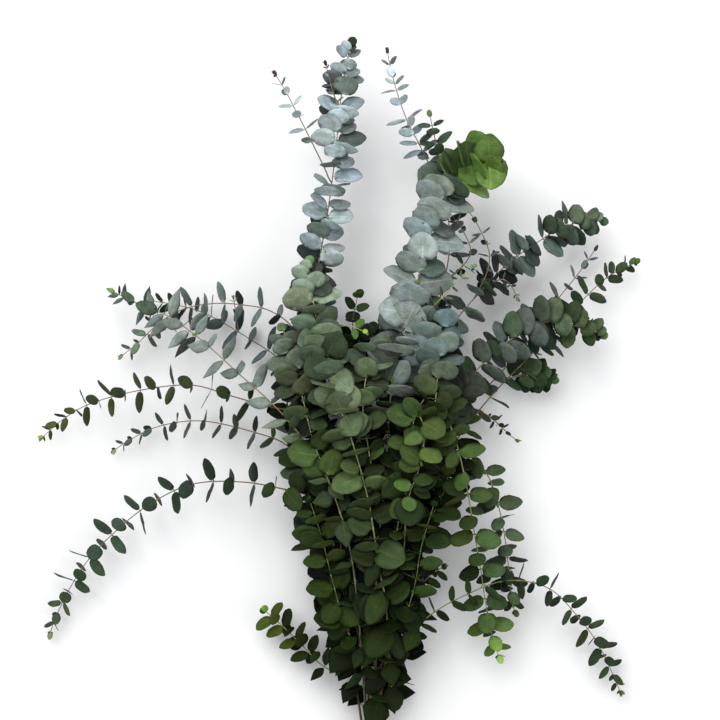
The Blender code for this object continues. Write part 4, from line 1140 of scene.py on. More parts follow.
    def try_any_way(self, curve: Curve, s: float, draw: random.Random, low: float, high: float,
                    covering: bool) -> None:
        """Adds one leaf that may point any way, if it touches nothing and stays in the body's outline.

        Args:
            curve: The sprig that it grows on.
            s: The distance along it.
            draw: Its source of chance.
            low: The least length.
            high: The greatest length.
            covering: Whether it grows from the top of the stem and so hides it.
        """
        hanging = draw.random() < ramp(260.0, 60.0, curve.at(s).y)
        for attempt in range(self.body_tries):
            way = -math.pi / 2 + draw.uniform(-0.9, 0.9) if hanging else draw.uniform(0, 2 * math.pi)
            rise = draw.uniform(0.05, 0.45) if covering else draw.uniform(-0.5, 0.6)
            along = Vector((math.cos(way), math.sin(way), rise)).normalized()
            normal = Vector((draw.uniform(-0.7, 0.7), draw.uniform(-0.7, 0.7), 1.0))
            normal = (normal - along * normal.dot(along)).normalized()
            tangent = curve.frame(s)[0]
            out = UP if covering else along
            out = out - tangent * out.dot(tangent)
            if out.length < 0.4:
                continue
            length = draw.uniform(low, high) * (1.0 if attempt < 5 else 0.75)
            leaf = Leaf(curve.at(s) + out.normalized() * curve.half(s), along, normal.cross(along), normal,
                        length, length * draw.uniform(0.55 if hanging else 0.85, 1.08),
                        draw.uniform(-0.05, 0.2), draw.uniform(0, 0.12))
            tip = leaf.point(1.0, 0.0)
            ys, lefts, rights = zip(*BODY_EDGE)
            left, right = np.interp(tip.y, ys, lefts), np.interp(tip.y, ys, rights)
            if not left < tip.x < right or tip.y < BODY_LOW - 4 or lowest(leaf) < FLOOR_GAP:
                continue
            if self.crowd.clear_loosely(leaf, curve.sprig.name):
                self.keep(curve, s, leaf)
                return

    def fill_body(self) -> None:
        """Crowds the middle of the bunch with leaves on all the stems that run through it."""
        for c in self.curves:
            draw = random.Random(f"{SEED} body {c.sprig.name}")
            s = 6.0
            while s < c.length - 20:
                at = c.at(s)
                sparse = draw.random() < 0.6 * ramp(130.0, 90.0, at.y)
                inside = BODY_LOW < at.y < BODY_HIGH and abs(at.x) < self.body_half
                if inside and c.sprig.leaf > 16 and not sparse:
                    more = 9 * ramp(440.0, 240.0, at.y)
                    low, high = self.body_lengths
                    self.try_any_way(c, s, draw, low + more, high + more, draw.random() < self.top_share)
                s += draw.uniform(*self.body_gaps)

    def cover_fronts(self) -> None:
        """Lays leaves over the stems that lie on top of the body."""
        for name in FRONTS:
            curve = self.named[name]
            draw = random.Random(f"{SEED} front {name}")
            s = draw.uniform(2, 8)
            while s < curve.length - 12:
                y = curve.at(s).y
                if BODY_LOW < y < BODY_HIGH - 20 and draw.random() > 0.8 * ramp(150.0, 100.0, y):
                    large = ramp(440.0, 240.0, y)
                    low, high = self.front_lengths
                    self.try_any_way(curve, s, draw, low + 9 * large, high + 10 * large, True)
                s += draw.uniform(*self.front_gaps)

    def grow_given(self) -> None:
        """Adds the large leaves whose places are given, each raised until it touches nothing."""
        for name, rows in GIVEN_LEAVES.items():
            curve = self.named[name]
            draw = random.Random(f"{SEED} given {name}")
            for x, y, z, way, length, breadth in rows:
                root = Vector((x, y, z))
                s = float(curve.along[np.argmin(np.linalg.norm(curve.points - np.array(root), axis=1))])
                way = math.radians(way)
                for rise in (0.05, 0.2, 0.35, 0.5, 0.65, 0.8):
                    along = Vector((math.cos(way), math.sin(way), rise)).normalized()
                    normal = Vector((draw.uniform(-0.15, 0.15), draw.uniform(-0.15, 0.15), 1.0))
                    normal = (normal - along * normal.dot(along)).normalized()
                    leaf = Leaf(root, along, normal.cross(along), normal, length, breadth, rise * 0.3, 0.05)
                    if self.crowd.clear_loosely(leaf, name):
                        break
                self.keep(curve, s, leaf)

    def grow_buds(self) -> None:
        """Adds pairs of tiny folded leaves in the angles between stems and leaves."""
        for name in BUDDING:
            curve = self.named[name]
            draw = random.Random(f"{SEED} bud {name}")
            for joint in curve.joints:
                if joint.kind != JointKind.PAIR or draw.random() > self.bud_share:
                    continue
                for side in (0, math.pi):
                    lean = math.radians(draw.uniform(25, 60))
                    length = draw.uniform(*self.bud_lengths)
                    leaf = folded_leaf(curve, joint.s, joint.roll + math.pi / 2 + side, lean,
                                       curve.half(joint.s) * 0.8, (length, length * 0.6, 0.2))
                    if lowest(leaf) > FLOOR_GAP:
                        self.blades.append((curve, curve.length, leaf))

    def grow_tips(self) -> None:
        """Adds the two smallest pairs, still half folded, at every tip."""
        for c in self.curves:
            draw = random.Random(f"{SEED} tip {c.sprig.name}")
            roll = draw.uniform(0, 3)
            for back, size in self.tip_pairs:
                roll += math.pi / 2
                for side in (0, math.pi):
                    lean = math.radians(draw.uniform(14, 30))
                    length = size * draw.uniform(0.8, 1.2)
                    leaf = folded_leaf(c, c.length - back, roll + side, lean, 0.4,
                                       (length, size * 0.5, 0.3))
                    if lowest(leaf) > FLOOR_GAP:
                        self.blades.append((c, c.length, leaf))

    def node_of(self, curve: Curve) -> str:
        """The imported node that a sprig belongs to."""
        parent = curve.sprig.parent
        return self.node_of(self.named[parent]) if parent else curve.sprig.name


def linear(colour: str) -> tuple[float, float, float]:
    """The linear value of a colour that is written as six hexadecimal digits."""
    parts = [int(colour[i:i + 2], 16) / 255 for i in (0, 2, 4)]
    return tuple(v / 12.92 if v <= 0.04045 else ((v + 0.055) / 1.055) ** 2.4 for v in parts)


def blend(a: Sequence[float], b: Sequence[float], share: float) -> tuple[float, ...]:
    """A colour between two others."""
    return tuple(x + (y - x) * share for x, y in zip(a, b))


def ramp(low: float, high: float, value: float) -> float:
    """Where a value lies between two others, from 0 to 1, eased at both ends."""
    t = min(1.0, max(0.0, (value - low) / (high - low)))
    return t * t * (3 - 2 * t)


@dataclass(frozen=True)
class Zone:
    """A part of the bunch round its middle line, with soft edges."""

    top: tuple[float, float]  # distance up the bunch where it ends and where it holds in full
    side: tuple[float, float]  # the same for the distance from the middle line

    def holds(self, at: Vector) -> float:
        """How far a place lies inside it, from 0 to 1."""
        return ramp(*self.top, at.y) * ramp(*self.side, abs(at.x))


BODY = Zone((440.0, 310.0), (150.0, 100.0))
CROWN = Zone((480.0, 400.0), (140.0, 110.0))
MIXED = Zone((330.0, 120.0), (130.0, 90.0))
FOOT = Zone((170.0, 60.0), (90.0, 70.0))


@dataclass(frozen=True)
class Look:
    """The colours of one sprig, from its foot to its tip."""

    colours: str  # leaves at the foot, in the middle, young and tiny, then wood at the foot and tip
    bloom: float = 0.4  # how waxy
    rim: float = 0.25  # how dark the edge of a blade is
    young_over: float = 45.0  # distance from the tip that counts as young
    breadth: float = 1.0  # of a blade, over that of the solids
    turned: float = 0.1  # share of the leaves that have lost their bloom
    pointed: float = 0.0  # share of the leaves with a pointed tip
    reached: float = 0.7  # how far up the sprig its middle colour is reached


PALE = Look("728a7e b5c3d0 adbecd 38182a 6a5440 78384a", bloom=0.6, young_over=16, breadth=1.16,
            turned=0.34)
SILVER = Look("435849 7d8988 7b8782 6f9140 6f7450 8a6a50", bloom=0.6, rim=0.35, breadth=0.76, turned=0.22,
              pointed=0.7)
CORE = Look("35482a 5e7656 7a9078 6a8f4c 7c8250 98a264", bloom=0.3)
DEEP = Look("1e2b10 2a3817 36471e 4a7030 3c4224 5c6834", bloom=0.1, rim=0.3)
TEAL = Look("2b3a2f 3a493b 404e36 6c7440 6a3a30 6e4034", bloom=0.3, rim=0.5)
OLIVE = Look("252e1a 374128 404a25 7c9a3c 6c3c30 703c30", bloom=0.2, rim=0.6, breadth=0.9)
GREY = Look("3f4f42 68777d 5e6e68 54704c 6a583c 6c4c3c", bloom=0.5, rim=0.3)
FRESH = Look("2e5026 486438 6c9440 8cb050 727e40 94a054", bloom=0.1, rim=0.2)

LOOKS = {
    "stem_front": Look("354527 687c65 8c9b88 7a9a64 7c8250 98a264", breadth=1.1),
    "stem_fall_front": Look("2d3d18 445930 546c39 6a9440 6e7840 848e4c", bloom=0.15, breadth=1.08),
    "stem_left_upper": SILVER,
    "stem_fall_right": Look("223211 3a4b2a 6a8f30 84b04c 6e7840 848e4c", bloom=0.25, young_over=40),
    "stem_left_long": OLIVE,
    "stem_large_leaf": Look("40553b 8b999e 5f8026 7aa62c 847c5c 70703c", young_over=62, breadth=1.16),
    "stem_tall": Look("4b6151 b5c3d0 adbecd 38182a 5c463a 5c2e3a", bloom=0.6, young_over=16, breadth=1.16,
                      turned=0.18, reached=0.95),
    "stem_fall_side": Look("304024 465840 516543 6a9040 66603c 727a48", bloom=0.3, rim=0.3),
    "stem_right_grey": Look("374334 596462 4c5f3c 54704c 6a583c 6c4c3c", bloom=0.5, rim=0.4, breadth=1.2,
                            turned=0.3, young_over=66),
    "stem_right_upper": Look("354934 62726f 5c6e5c 44603a 6a583c 6c4c3c", rim=0.35, breadth=1.15),
    "stem_right_long": Look("273722 3e4f3b 3c4f2e 40602c 60463a 623f32", bloom=0.25, rim=0.45),
    "stem_top_thin": Look("4b5d4f aebdcc b4c3d2 42182c 74505a 783c48", bloom=0.6),
    "stem_left_arch": Look("3f4e40 6c7b7d 5c6f58 6f9140 6c5640 725040", bloom=0.5, rim=0.45, breadth=0.85),
    "stem_left_low": Look("2d372c 434d47 485048 7a9050 70443c 70443c", rim=0.5, breadth=0.9),
    "stem_right_thin": Look("405144 6a7986 687782 56384a 70503c 723f3a", bloom=0.5, rim=0.35, breadth=0.85),
    "stem_left_back": Look("344434 5c6d6e 4d6638 7a9448 6a5840 6c5e40", rim=0.4, breadth=0.85),
    "stem_left_edge": DEEP,
    "stem_right_edge": DEEP,
    "stem_back": DEEP,
    "shoot_mid_front": CORE,
    "shoot_mid_left": Look("344426 66785f 879583 7a9a64 7c8250 98a264", breadth=1.08),
    "shoot_mid_right": Look("324324 4c603c 6f8284 74a044 7c8250 98a264", bloom=0.35, young_over=78,
                            breadth=1.12),
    "shoot_low_left": DEEP,
    "shoot_low_mid": Look("26401c 3e582e 507038 649038 646c38 747e3e", bloom=0.15),
    "shoot_low_right": DEEP,
    "shoot_left_arc": TEAL,
    "shoot_top_left": PALE,
    "shoot_right_arc": Look("23321e 2f3e2c 304220 48682c 747644 724e3c", bloom=0.3, rim=0.5),
    "shoot_pale_twig": FRESH,
    "shoot_top_right": Look("2b3f2c 445945 495e48 667f40 724e3e 724e3e", bloom=0.3, rim=0.4),
    "shoot_right_cluster": Look("2c3d28 40553a 4a6340 54703c 5e4830 5e4430", bloom=0.1, rim=0.3),
    "shoot_right_tiny": TEAL,
    "shoot_left_base": Look("4e6315 5f751c 70871c 82aa3c 6e7c3a 7e8c40", bloom=0.1, rim=0.3),
    "shoot_right_base": FRESH,
    "twig_left_tall": SILVER,
    "twig_tall_side": PALE,
    "twig_top_one": GREY,
    "twig_top_two": GREY,
    "twig_middle": CORE,
    "twig_right_tip": GREY,
}


@dataclass(frozen=True)
class Socket:
    """An output of a node, which can be used in sums."""

    graph: Graph
    output: bpy.types.NodeSocket

    def math(self, operation: str, *others: object, first: object = None) -> Socket:
        """A Math node on this value, which comes second where the reflected forms give a first one."""
        values = [self, *others] if first is None else [first, self]
        return self.graph.add("ShaderNodeMath", {"operation": operation}, dict(enumerate(values)))

    def __add__(self, other: object) -> Socket:
        """This value plus another."""
        return self.math("ADD", other)

    def __radd__(self, other: object) -> Socket:
        """Another value plus this one."""
        return self.math("ADD", first=other)

    def __sub__(self, other: object) -> Socket:
        """This value less another."""
        return self.math("SUBTRACT", other)

    def __rsub__(self, other: object) -> Socket:
        """Another value less this one."""
        return self.math("SUBTRACT", first=other)

    def __mul__(self, other: object) -> Socket:
        """This value times another."""
        return self.math("MULTIPLY", other)

    def __rmul__(self, other: object) -> Socket:
        """Another value times this one."""
        return self.math("MULTIPLY", first=other)

    def __truediv__(self, other: object) -> Socket:
        """This value over another."""
        return self.math("DIVIDE", other)

    def __rtruediv__(self, other: object) -> Socket:
        """Another value over this one."""
        return self.math("DIVIDE", first=other)

    def __abs__(self) -> Socket:
        """This value without its sign."""
        return self.math("ABSOLUTE")

    def ramp(self, low: float, high: float, start: float = 0.0, end: float = 1.0) -> Socket:
        """The value eased from start to end as this one goes from low to high."""
        values = {"Value": self, "From Min": low, "From Max": high, "To Min": start, "To Max": end}
        return self.graph.add("ShaderNodeMapRange", {"interpolation_type": "SMOOTHSTEP"}, values)


@dataclass
class Graph:
    """A node tree of any kind, and the one way in which nodes are added to it."""

    tree: bpy.types.NodeTree

    def add(self, kind: str, settings: dict | None = None, inputs: dict | None = None,
            output: int | str = 0) -> Socket:
        """Adds a node: its type, then its settings, then what goes into its sockets.

        Args:
            kind: The node's type.
            settings: Properties of the node.
            inputs: Sockets by name or number, with a constant or another node's output for each.
            output: Which of its outputs is wanted, by name or number.

        Returns:
            That output.
        """
        node = self.tree.nodes.new(kind)
        for name, value in (settings or {}).items():
            setattr(node, name, value)
        for key, value in (inputs or {}).items():
            socket = node.inputs[key] if isinstance(key, int) else self.open_socket(node.inputs, key)
            if isinstance(value, Socket):
                self.tree.links.new(value.output, socket)
            else:
                socket.default_value = value
        found = node.outputs[output] if isinstance(output, int) else self.open_socket(node.outputs, output)
        return Socket(self, found)

    @staticmethod
    def open_socket(sockets: Sequence, name: str) -> bpy.types.NodeSocket:
        """The socket of that name that the node's settings leave in use."""
        return next(s for s in sockets if s.enabled and s.name == name)

    def mix(self, share: object, a: object, b: object, mode: str = "MIX") -> Socket:
        """The colour a with a share of b mixed into it, from 0 to 1."""
        settings = {"data_type": "RGBA", "blend_type": mode}
        return self.add("ShaderNodeMix", settings, {"Factor": share, "A": a, "B": b}, "Result")

    def split(self, vector: Socket) -> tuple[Socket, Socket, Socket]:
        """The three numbers of a vector."""
        first = self.add("ShaderNodeSeparateXYZ", inputs={"Vector": vector})
        return tuple(Socket(self, out) for out in first.output.node.outputs)


class Finish:
    """A procedural material; each kind of surface builds its own nodes."""

    def __init__(self, name: str) -> None:
        """Makes the material and lets the surface add its nodes.

        Args:
            name: The material's name.
        """
        self.material = bpy.data.materials.new(name)
        self.material.use_nodes = True
        self.graph = Graph(self.material.node_tree)
        self.shader = self.material.node_tree.nodes["Principled BSDF"]
        self.build()

    def build(self) -> None:
        """Adds the nodes of this kind of surface."""
        raise NotImplementedError

    def attribute(self, name: str, output: str = "Vector") -> Socket:
        """A value stored in the mesh."""
        return self.graph.add("ShaderNodeAttribute", {"attribute_name": name}, output=output)

    def place(self) -> Socket:
        """The object's own coordinates."""
        return self.graph.add("ShaderNodeTexCoord", output="Object")

    def noise(self, scale: float, detail: float = 2.0, vector: Socket | None = None) -> Socket:
        """Noise in the object's own coordinates."""
        inputs = {"Vector": vector or self.place(), "Scale": scale, "Detail": detail}
        return self.graph.add("ShaderNodeTexNoise", inputs=inputs)

    def feed(self, name: str, value: Socket) -> None:
        """Links a value to a socket of the shader."""
        self.graph.tree.links.new(value.output, self.shader.inputs[name])

    def bump(self, height: Socket, strength: float, distance: float) -> None:
        """Links a height to the shader's normal."""
        inputs = {"Height": height, "Strength": strength, "Distance": distance}
        self.feed("Normal", self.graph.add("ShaderNodeBump", inputs=inputs))


class LeafFinish(Finish):
    """A matt, waxy blade with a pale midrib, fine side veins and a darker edge."""

    def build(self) -> None:
        """Adds the nodes of a leaf."""
        g = self.graph
        u, v, side = g.split(self.attribute("skin"))
        rim, bloom, chance = g.split(self.attribute("mood"))
        tint = self.attribute("tint", "Color")
        out = abs(v)
        midrib = (out / (0.075 - 0.045 * u)).ramp(0.35, 1.0, 1.0, 0.0)
        slant = (u * 8.0 + out * 3.4 + chance * 3.0).math("FRACT")
        veins = abs(slant - 0.5).ramp(0.0, 0.16, 1.0, 0.0) * out.ramp(0.75, 0.95, 1.0, 0.0)
        edge = out.ramp(0.82, 0.98) + u.ramp(0.93, 1.0)
        wax = self.noise(95.0, 3.0).ramp(0.3, 0.7)
        fine = self.noise(900.0, 1.0)
        under = side.ramp(-0.3, 0.3, 1.0, 0.0)
        worn = self.noise(330.0, 4.0).ramp(0.35, 0.65)
        waxy = g.mix(1.0, tint, (1.7, 1.72, 1.82, 1), "MULTIPLY")
        colour = g.mix(bloom * wax * 0.5, tint, waxy)
        colour = g.mix((1.0 - wax) * 0.6, colour, (0.55, 0.64, 0.46, 1), "MULTIPLY")
        colour = g.mix(worn * 0.4, colour, (0.6, 0.66, 0.52, 1), "MULTIPLY")
        blush = self.noise(160.0, 3.0).ramp(0.58, 0.74)
        colour = g.mix(blush * 0.35, colour, (1.25, 0.95, 0.7, 1), "MULTIPLY")
        pale_foot = u.ramp(0.0, 0.45, 1.0, 0.0) * out.ramp(0.3, 1.0, 1.0, 0.2)
        colour = g.mix(pale_foot * 0.3, colour, g.mix(1.0, colour, (1.5, 1.5, 1.4, 1), "MULTIPLY"))
        colour = g.mix(out.ramp(0.55, 0.95, 0.0, 0.28), colour, (0.62, 0.62, 0.55, 1), "MULTIPLY")
        paler = g.mix(1.0, colour, (1.7, 1.7, 1.6, 1), "MULTIPLY")
        colour = g.mix(veins * 0.3, colour, paler)
        colour = g.mix(midrib * 0.55, colour, g.mix(1.0, paler, (1.1, 1.05, 0.9, 1), "MULTIPLY"))
        colour = g.mix(under * 0.35, colour, paler)
        colour = g.mix(edge.math("MINIMUM", 1.0) * rim, colour, (0.4, 0.32, 0.24, 1), "MULTIPLY")
        greyer = {"Saturation": bloom.ramp(0.06, 0.45, 0.94, 0.84), "Color": colour}
        colour = g.add("ShaderNodeHueSaturation", inputs=greyer, output="Color")
        self.feed("Base Color", colour)
        self.feed("Roughness", wax.ramp(0.0, 1.0, 0.5, 0.66) + fine * 0.06)
        self.shader.inputs["Specular IOR Level"].default_value = 0.1
        self.bump(fine * 0.3 - veins * 0.4 - midrib * 0.8, 0.35, 0.0004)


class WoodFinish(Finish):
    """Thin green or brown bark with fine lengthwise streaks."""

    def build(self) -> None:
        """Adds the nodes of the stems."""
        g = self.graph
        tone = self.attribute("tone", "Color")
        streak = self.noise(700.0, 2.0)
        patch = self.noise(60.0, 3.0).ramp(0.35, 0.65)
        colour = g.mix(streak.ramp(0.35, 0.7, 0.0, 0.3), tone, (0.55, 0.45, 0.35, 1), "MULTIPLY")
        colour = g.mix(patch * 0.25, colour, (0.3, 0.3, 0.16, 1))
        self.feed("Base Color", colour)
        self.feed("Roughness", streak.ramp(0.2, 0.8, 0.5, 0.7))
        self.bump(streak, 0.4, 0.0005)


class TwineFinish(Finish):
    """Dry plant fibre, paler on the raised fibres."""

    def build(self) -> None:
        """Adds the nodes of the twine."""
        g = self.graph
        fibre = self.noise(2200.0, 3.0)
        patch = self.noise(300.0, 2.0)
        colour = g.mix(fibre.ramp(0.3, 0.7), (0.3, 0.2, 0.1, 1), (0.62, 0.48, 0.3, 1))
        colour = g.mix(patch.ramp(0.4, 0.7, 0.0, 0.3), colour, (0.36, 0.27, 0.17, 1))
        self.feed("Base Color", colour)
        self.feed("Roughness", fibre.ramp(0.0, 1.0, 0.8, 0.95))
        self.bump(fibre, 0.7, 0.0006)


class FloorFinish(Finish):
    """A plain pale floor with a trace of unevenness."""

    def build(self) -> None:
        """Adds the nodes of the floor."""
        grain = self.noise(3.0, 2.0)
        self.feed("Base Color", self.graph.mix(grain, (0.93, 0.93, 0.93, 1), (0.96, 0.96, 0.96, 1)))
        self.shader.inputs["Roughness"].default_value = 0.8


class GeometryTree(Graph):
    """A Geometry Nodes tree with named inputs."""

    def __init__(self, name: str, inputs: dict[str, str]) -> None:
        """Makes the tree with its inputs, given as name and kind of socket.

        Args:
            name: The tree's name.
            inputs: Its inputs, by name, with the kind of socket.
        """
        tree = bpy.data.node_groups.new(name, "GeometryNodeTree")
        super().__init__(tree)
        tree.interface.new_socket("Geometry", in_out="INPUT", socket_type="NodeSocketGeometry")
        self.names = {}
        for title, kind in inputs.items():
            made = tree.interface.new_socket(title, in_out="INPUT", socket_type=kind)
            self.names[title] = made.identifier
        tree.interface.new_socket("Geometry", in_out="OUTPUT", socket_type="NodeSocketGeometry")
        self.entry = tree.nodes.new("NodeGroupInput")

    def given(self, title: str) -> Socket:
        """One of the tree's own inputs."""
        return Socket(self, self.entry.outputs[title])

    def stored(self, name: str, kind: str = "FLOAT_VECTOR") -> Socket:
        """A value stored in the mesh."""
        return self.add("GeometryNodeInputNamedAttribute", {"data_type": kind}, {"Name": name}, "Attribute")

    def vector(self, operation: str, *values: object) -> Socket:
        """A Vector Math node."""
        return self.add("ShaderNodeVectorMath", {"operation": operation}, dict(enumerate(values)), "Vector")

    def stretched(self, vector: Socket, by: Socket) -> Socket:
        """A vector times a number."""
        settings = {"operation": "SCALE"}
        return self.add("ShaderNodeVectorMath", settings, {"Vector": vector, "Scale": by}, "Vector")

    def close(self, geometry: Socket) -> None:
        """Links the tree's result."""
        end = self.tree.nodes.new("NodeGroupOutput")
        self.tree.links.new(geometry.output, end.inputs["Geometry"])

    def grow(self, start: bpy.types.Mesh, name: str, values: dict[str, object]) -> bpy.types.Object:
        """Runs the tree on a plain mesh and keeps its result as a plain mesh.

        Args:
            start: The points or edges that the tree starts from.
            name: The name of the finished piece.
            values: What goes into the tree's named inputs.

        Returns:
            The finished piece, at the origin, with no modifier on it.
        """
        source = bpy.data.objects.new(start.name, start)
        bpy.context.scene.collection.objects.link(source)
        modifier = source.modifiers.new("grow", "NODES")
        modifier.node_group = self.tree
        for title, value in values.items():
            modifier[self.names[title]] = value
        bpy.context.view_layer.update()
        graph = bpy.context.evaluated_depsgraph_get()
        mesh = bpy.data.meshes.new_from_object(source.evaluated_get(graph), depsgraph=graph)
        mesh.name = name
        piece = bpy.data.objects.new(name, mesh)
        bpy.context.scene.collection.objects.link(piece)
        bpy.data.objects.remove(source)
        return piece


class BladeKind(Enum):
    """The outlines that the leaves have."""

    ROUND = 0
    OVAL = 1
    POINTED = 2


# Distance along a blade of each outline, and half its breadth there
BREADTHS = {
    BladeKind.ROUND: ((0, 0.3), (0.04, 0.64), (0.12, 0.86), (0.28, 0.98), (0.44, 1), (0.64, 0.94),
                      (0.81, 0.74), (0.92, 0.48), (1, 0)),
    BladeKind.OVAL: ((0, 0.28), (0.05, 0.6), (0.15, 0.85), (0.3, 0.98), (0.42, 1), (0.6, 0.92),
                     (0.8, 0.68), (0.93, 0.4), (1, 0)),
    BladeKind.POINTED: ((0, 0.22), (0.05, 0.44), (0.15, 0.72), (0.3, 0.96), (0.4, 1), (0.55, 0.87),
                        (0.75, 0.52), (0.9, 0.2), (1, 0)),
}


@dataclass(frozen=True)
class BladeShape:
    """A flat blade of unit size, which the foliage tree bends to each leaf's own form."""

    kind: BladeKind
    rows: int = 6
    columns: int = 4
    stalk_breadth: float = 0.07

    def half_width(self, u: float) -> float:
        """Half the blade's breadth at u, from 0 at its base to 1 at its tip."""
        return float(np.interp(u, *zip(*BREADTHS[self.kind])))

    def build(self) -> bpy.types.Object:
        """Makes the blade's mesh, with its own coordinates stored in it.

        Returns:
            The blade, which is in no scene yet.
        """
        places = [(-1.0, self.stalk_breadth * 0.8), (-0.1, self.stalk_breadth)]
        for k in range(1, self.rows + 1):
            u = (1 - math.cos(math.pi * k / (self.rows + 1))) / 2
            places.append((u, self.half_width(u)))
        points, skins, faces = [], [], []
        across = self.columns + 1
        for side in (1.0, -1.0):
            for u, half in places:
                for j in range(across):
                    v = 2 * j / self.columns - 1
                    back = 0.1 * (1 - abs(abs(v) * 2 - 1)) * max(0.0, 1 - u * 5) if u > 0 else 0.0
                    points.append((u - back, v * half, side))
                    skins.append((u, v, side))
            points.append((1.0, 0.0, side))
            skins.append((1.0, 0.0, side))
        layer = len(places) * across + 1
        rows = len(places)
        for base, turn in ((0, 1), (layer, -1)):
            for i in range(rows - 1):
                for j in range(self.columns):
                    a = base + i * across + j
                    faces.append((a, a + across, a + across + 1, a + 1)[::turn])
            for j in range(self.columns):
                a = base + (rows - 1) * across + j
                faces.append((a, base + layer - 1, a + 1)[::turn])
        for i in range(rows - 1):
            for j, turn in ((0, 1), (self.columns, -1)):
                a = i * across + j
                faces.append((a, a + layer, a + layer + across, a + across)[::turn])
        for j, turn in ((0, 1), (self.columns, -1)):
            a = (rows - 1) * across + j
            faces.append((a, a + layer, 2 * layer - 1, layer - 1)[::turn])
        for j in range(self.columns):
            faces.append((j, j + 1, j + 1 + layer, j + layer))
        mesh = bpy.data.meshes.new(f"blade_{self.kind.value}")
        mesh.from_pydata([(x, y, z * 0.01) for x, y, z in points], [], faces)
        store(mesh, "blade", points)
        store(mesh, "skin", skins)
        for polygon in mesh.polygons:
            polygon.use_smooth = True
        return bpy.data.objects.new(mesh.name, mesh)


def store(mesh: bpy.types.Mesh, name: str, values: Sequence, kind: str = "FLOAT_VECTOR") -> None:
    """Stores one value for each point of a mesh.

    Args:
        mesh: The mesh.
        name: The attribute's name.
        values: One value for each point.
        kind: FLOAT, INT, FLOAT_VECTOR or FLOAT_COLOR.
    """
    key = {"FLOAT": "value", "INT": "value", "FLOAT_VECTOR": "vector", "FLOAT_COLOR": "color"}[kind]
    made = mesh.attributes.new(name, kind, "POINT")
    made.data.foreach_set(key, np.array(values, np.int32 if kind == "INT" else np.float32).ravel())


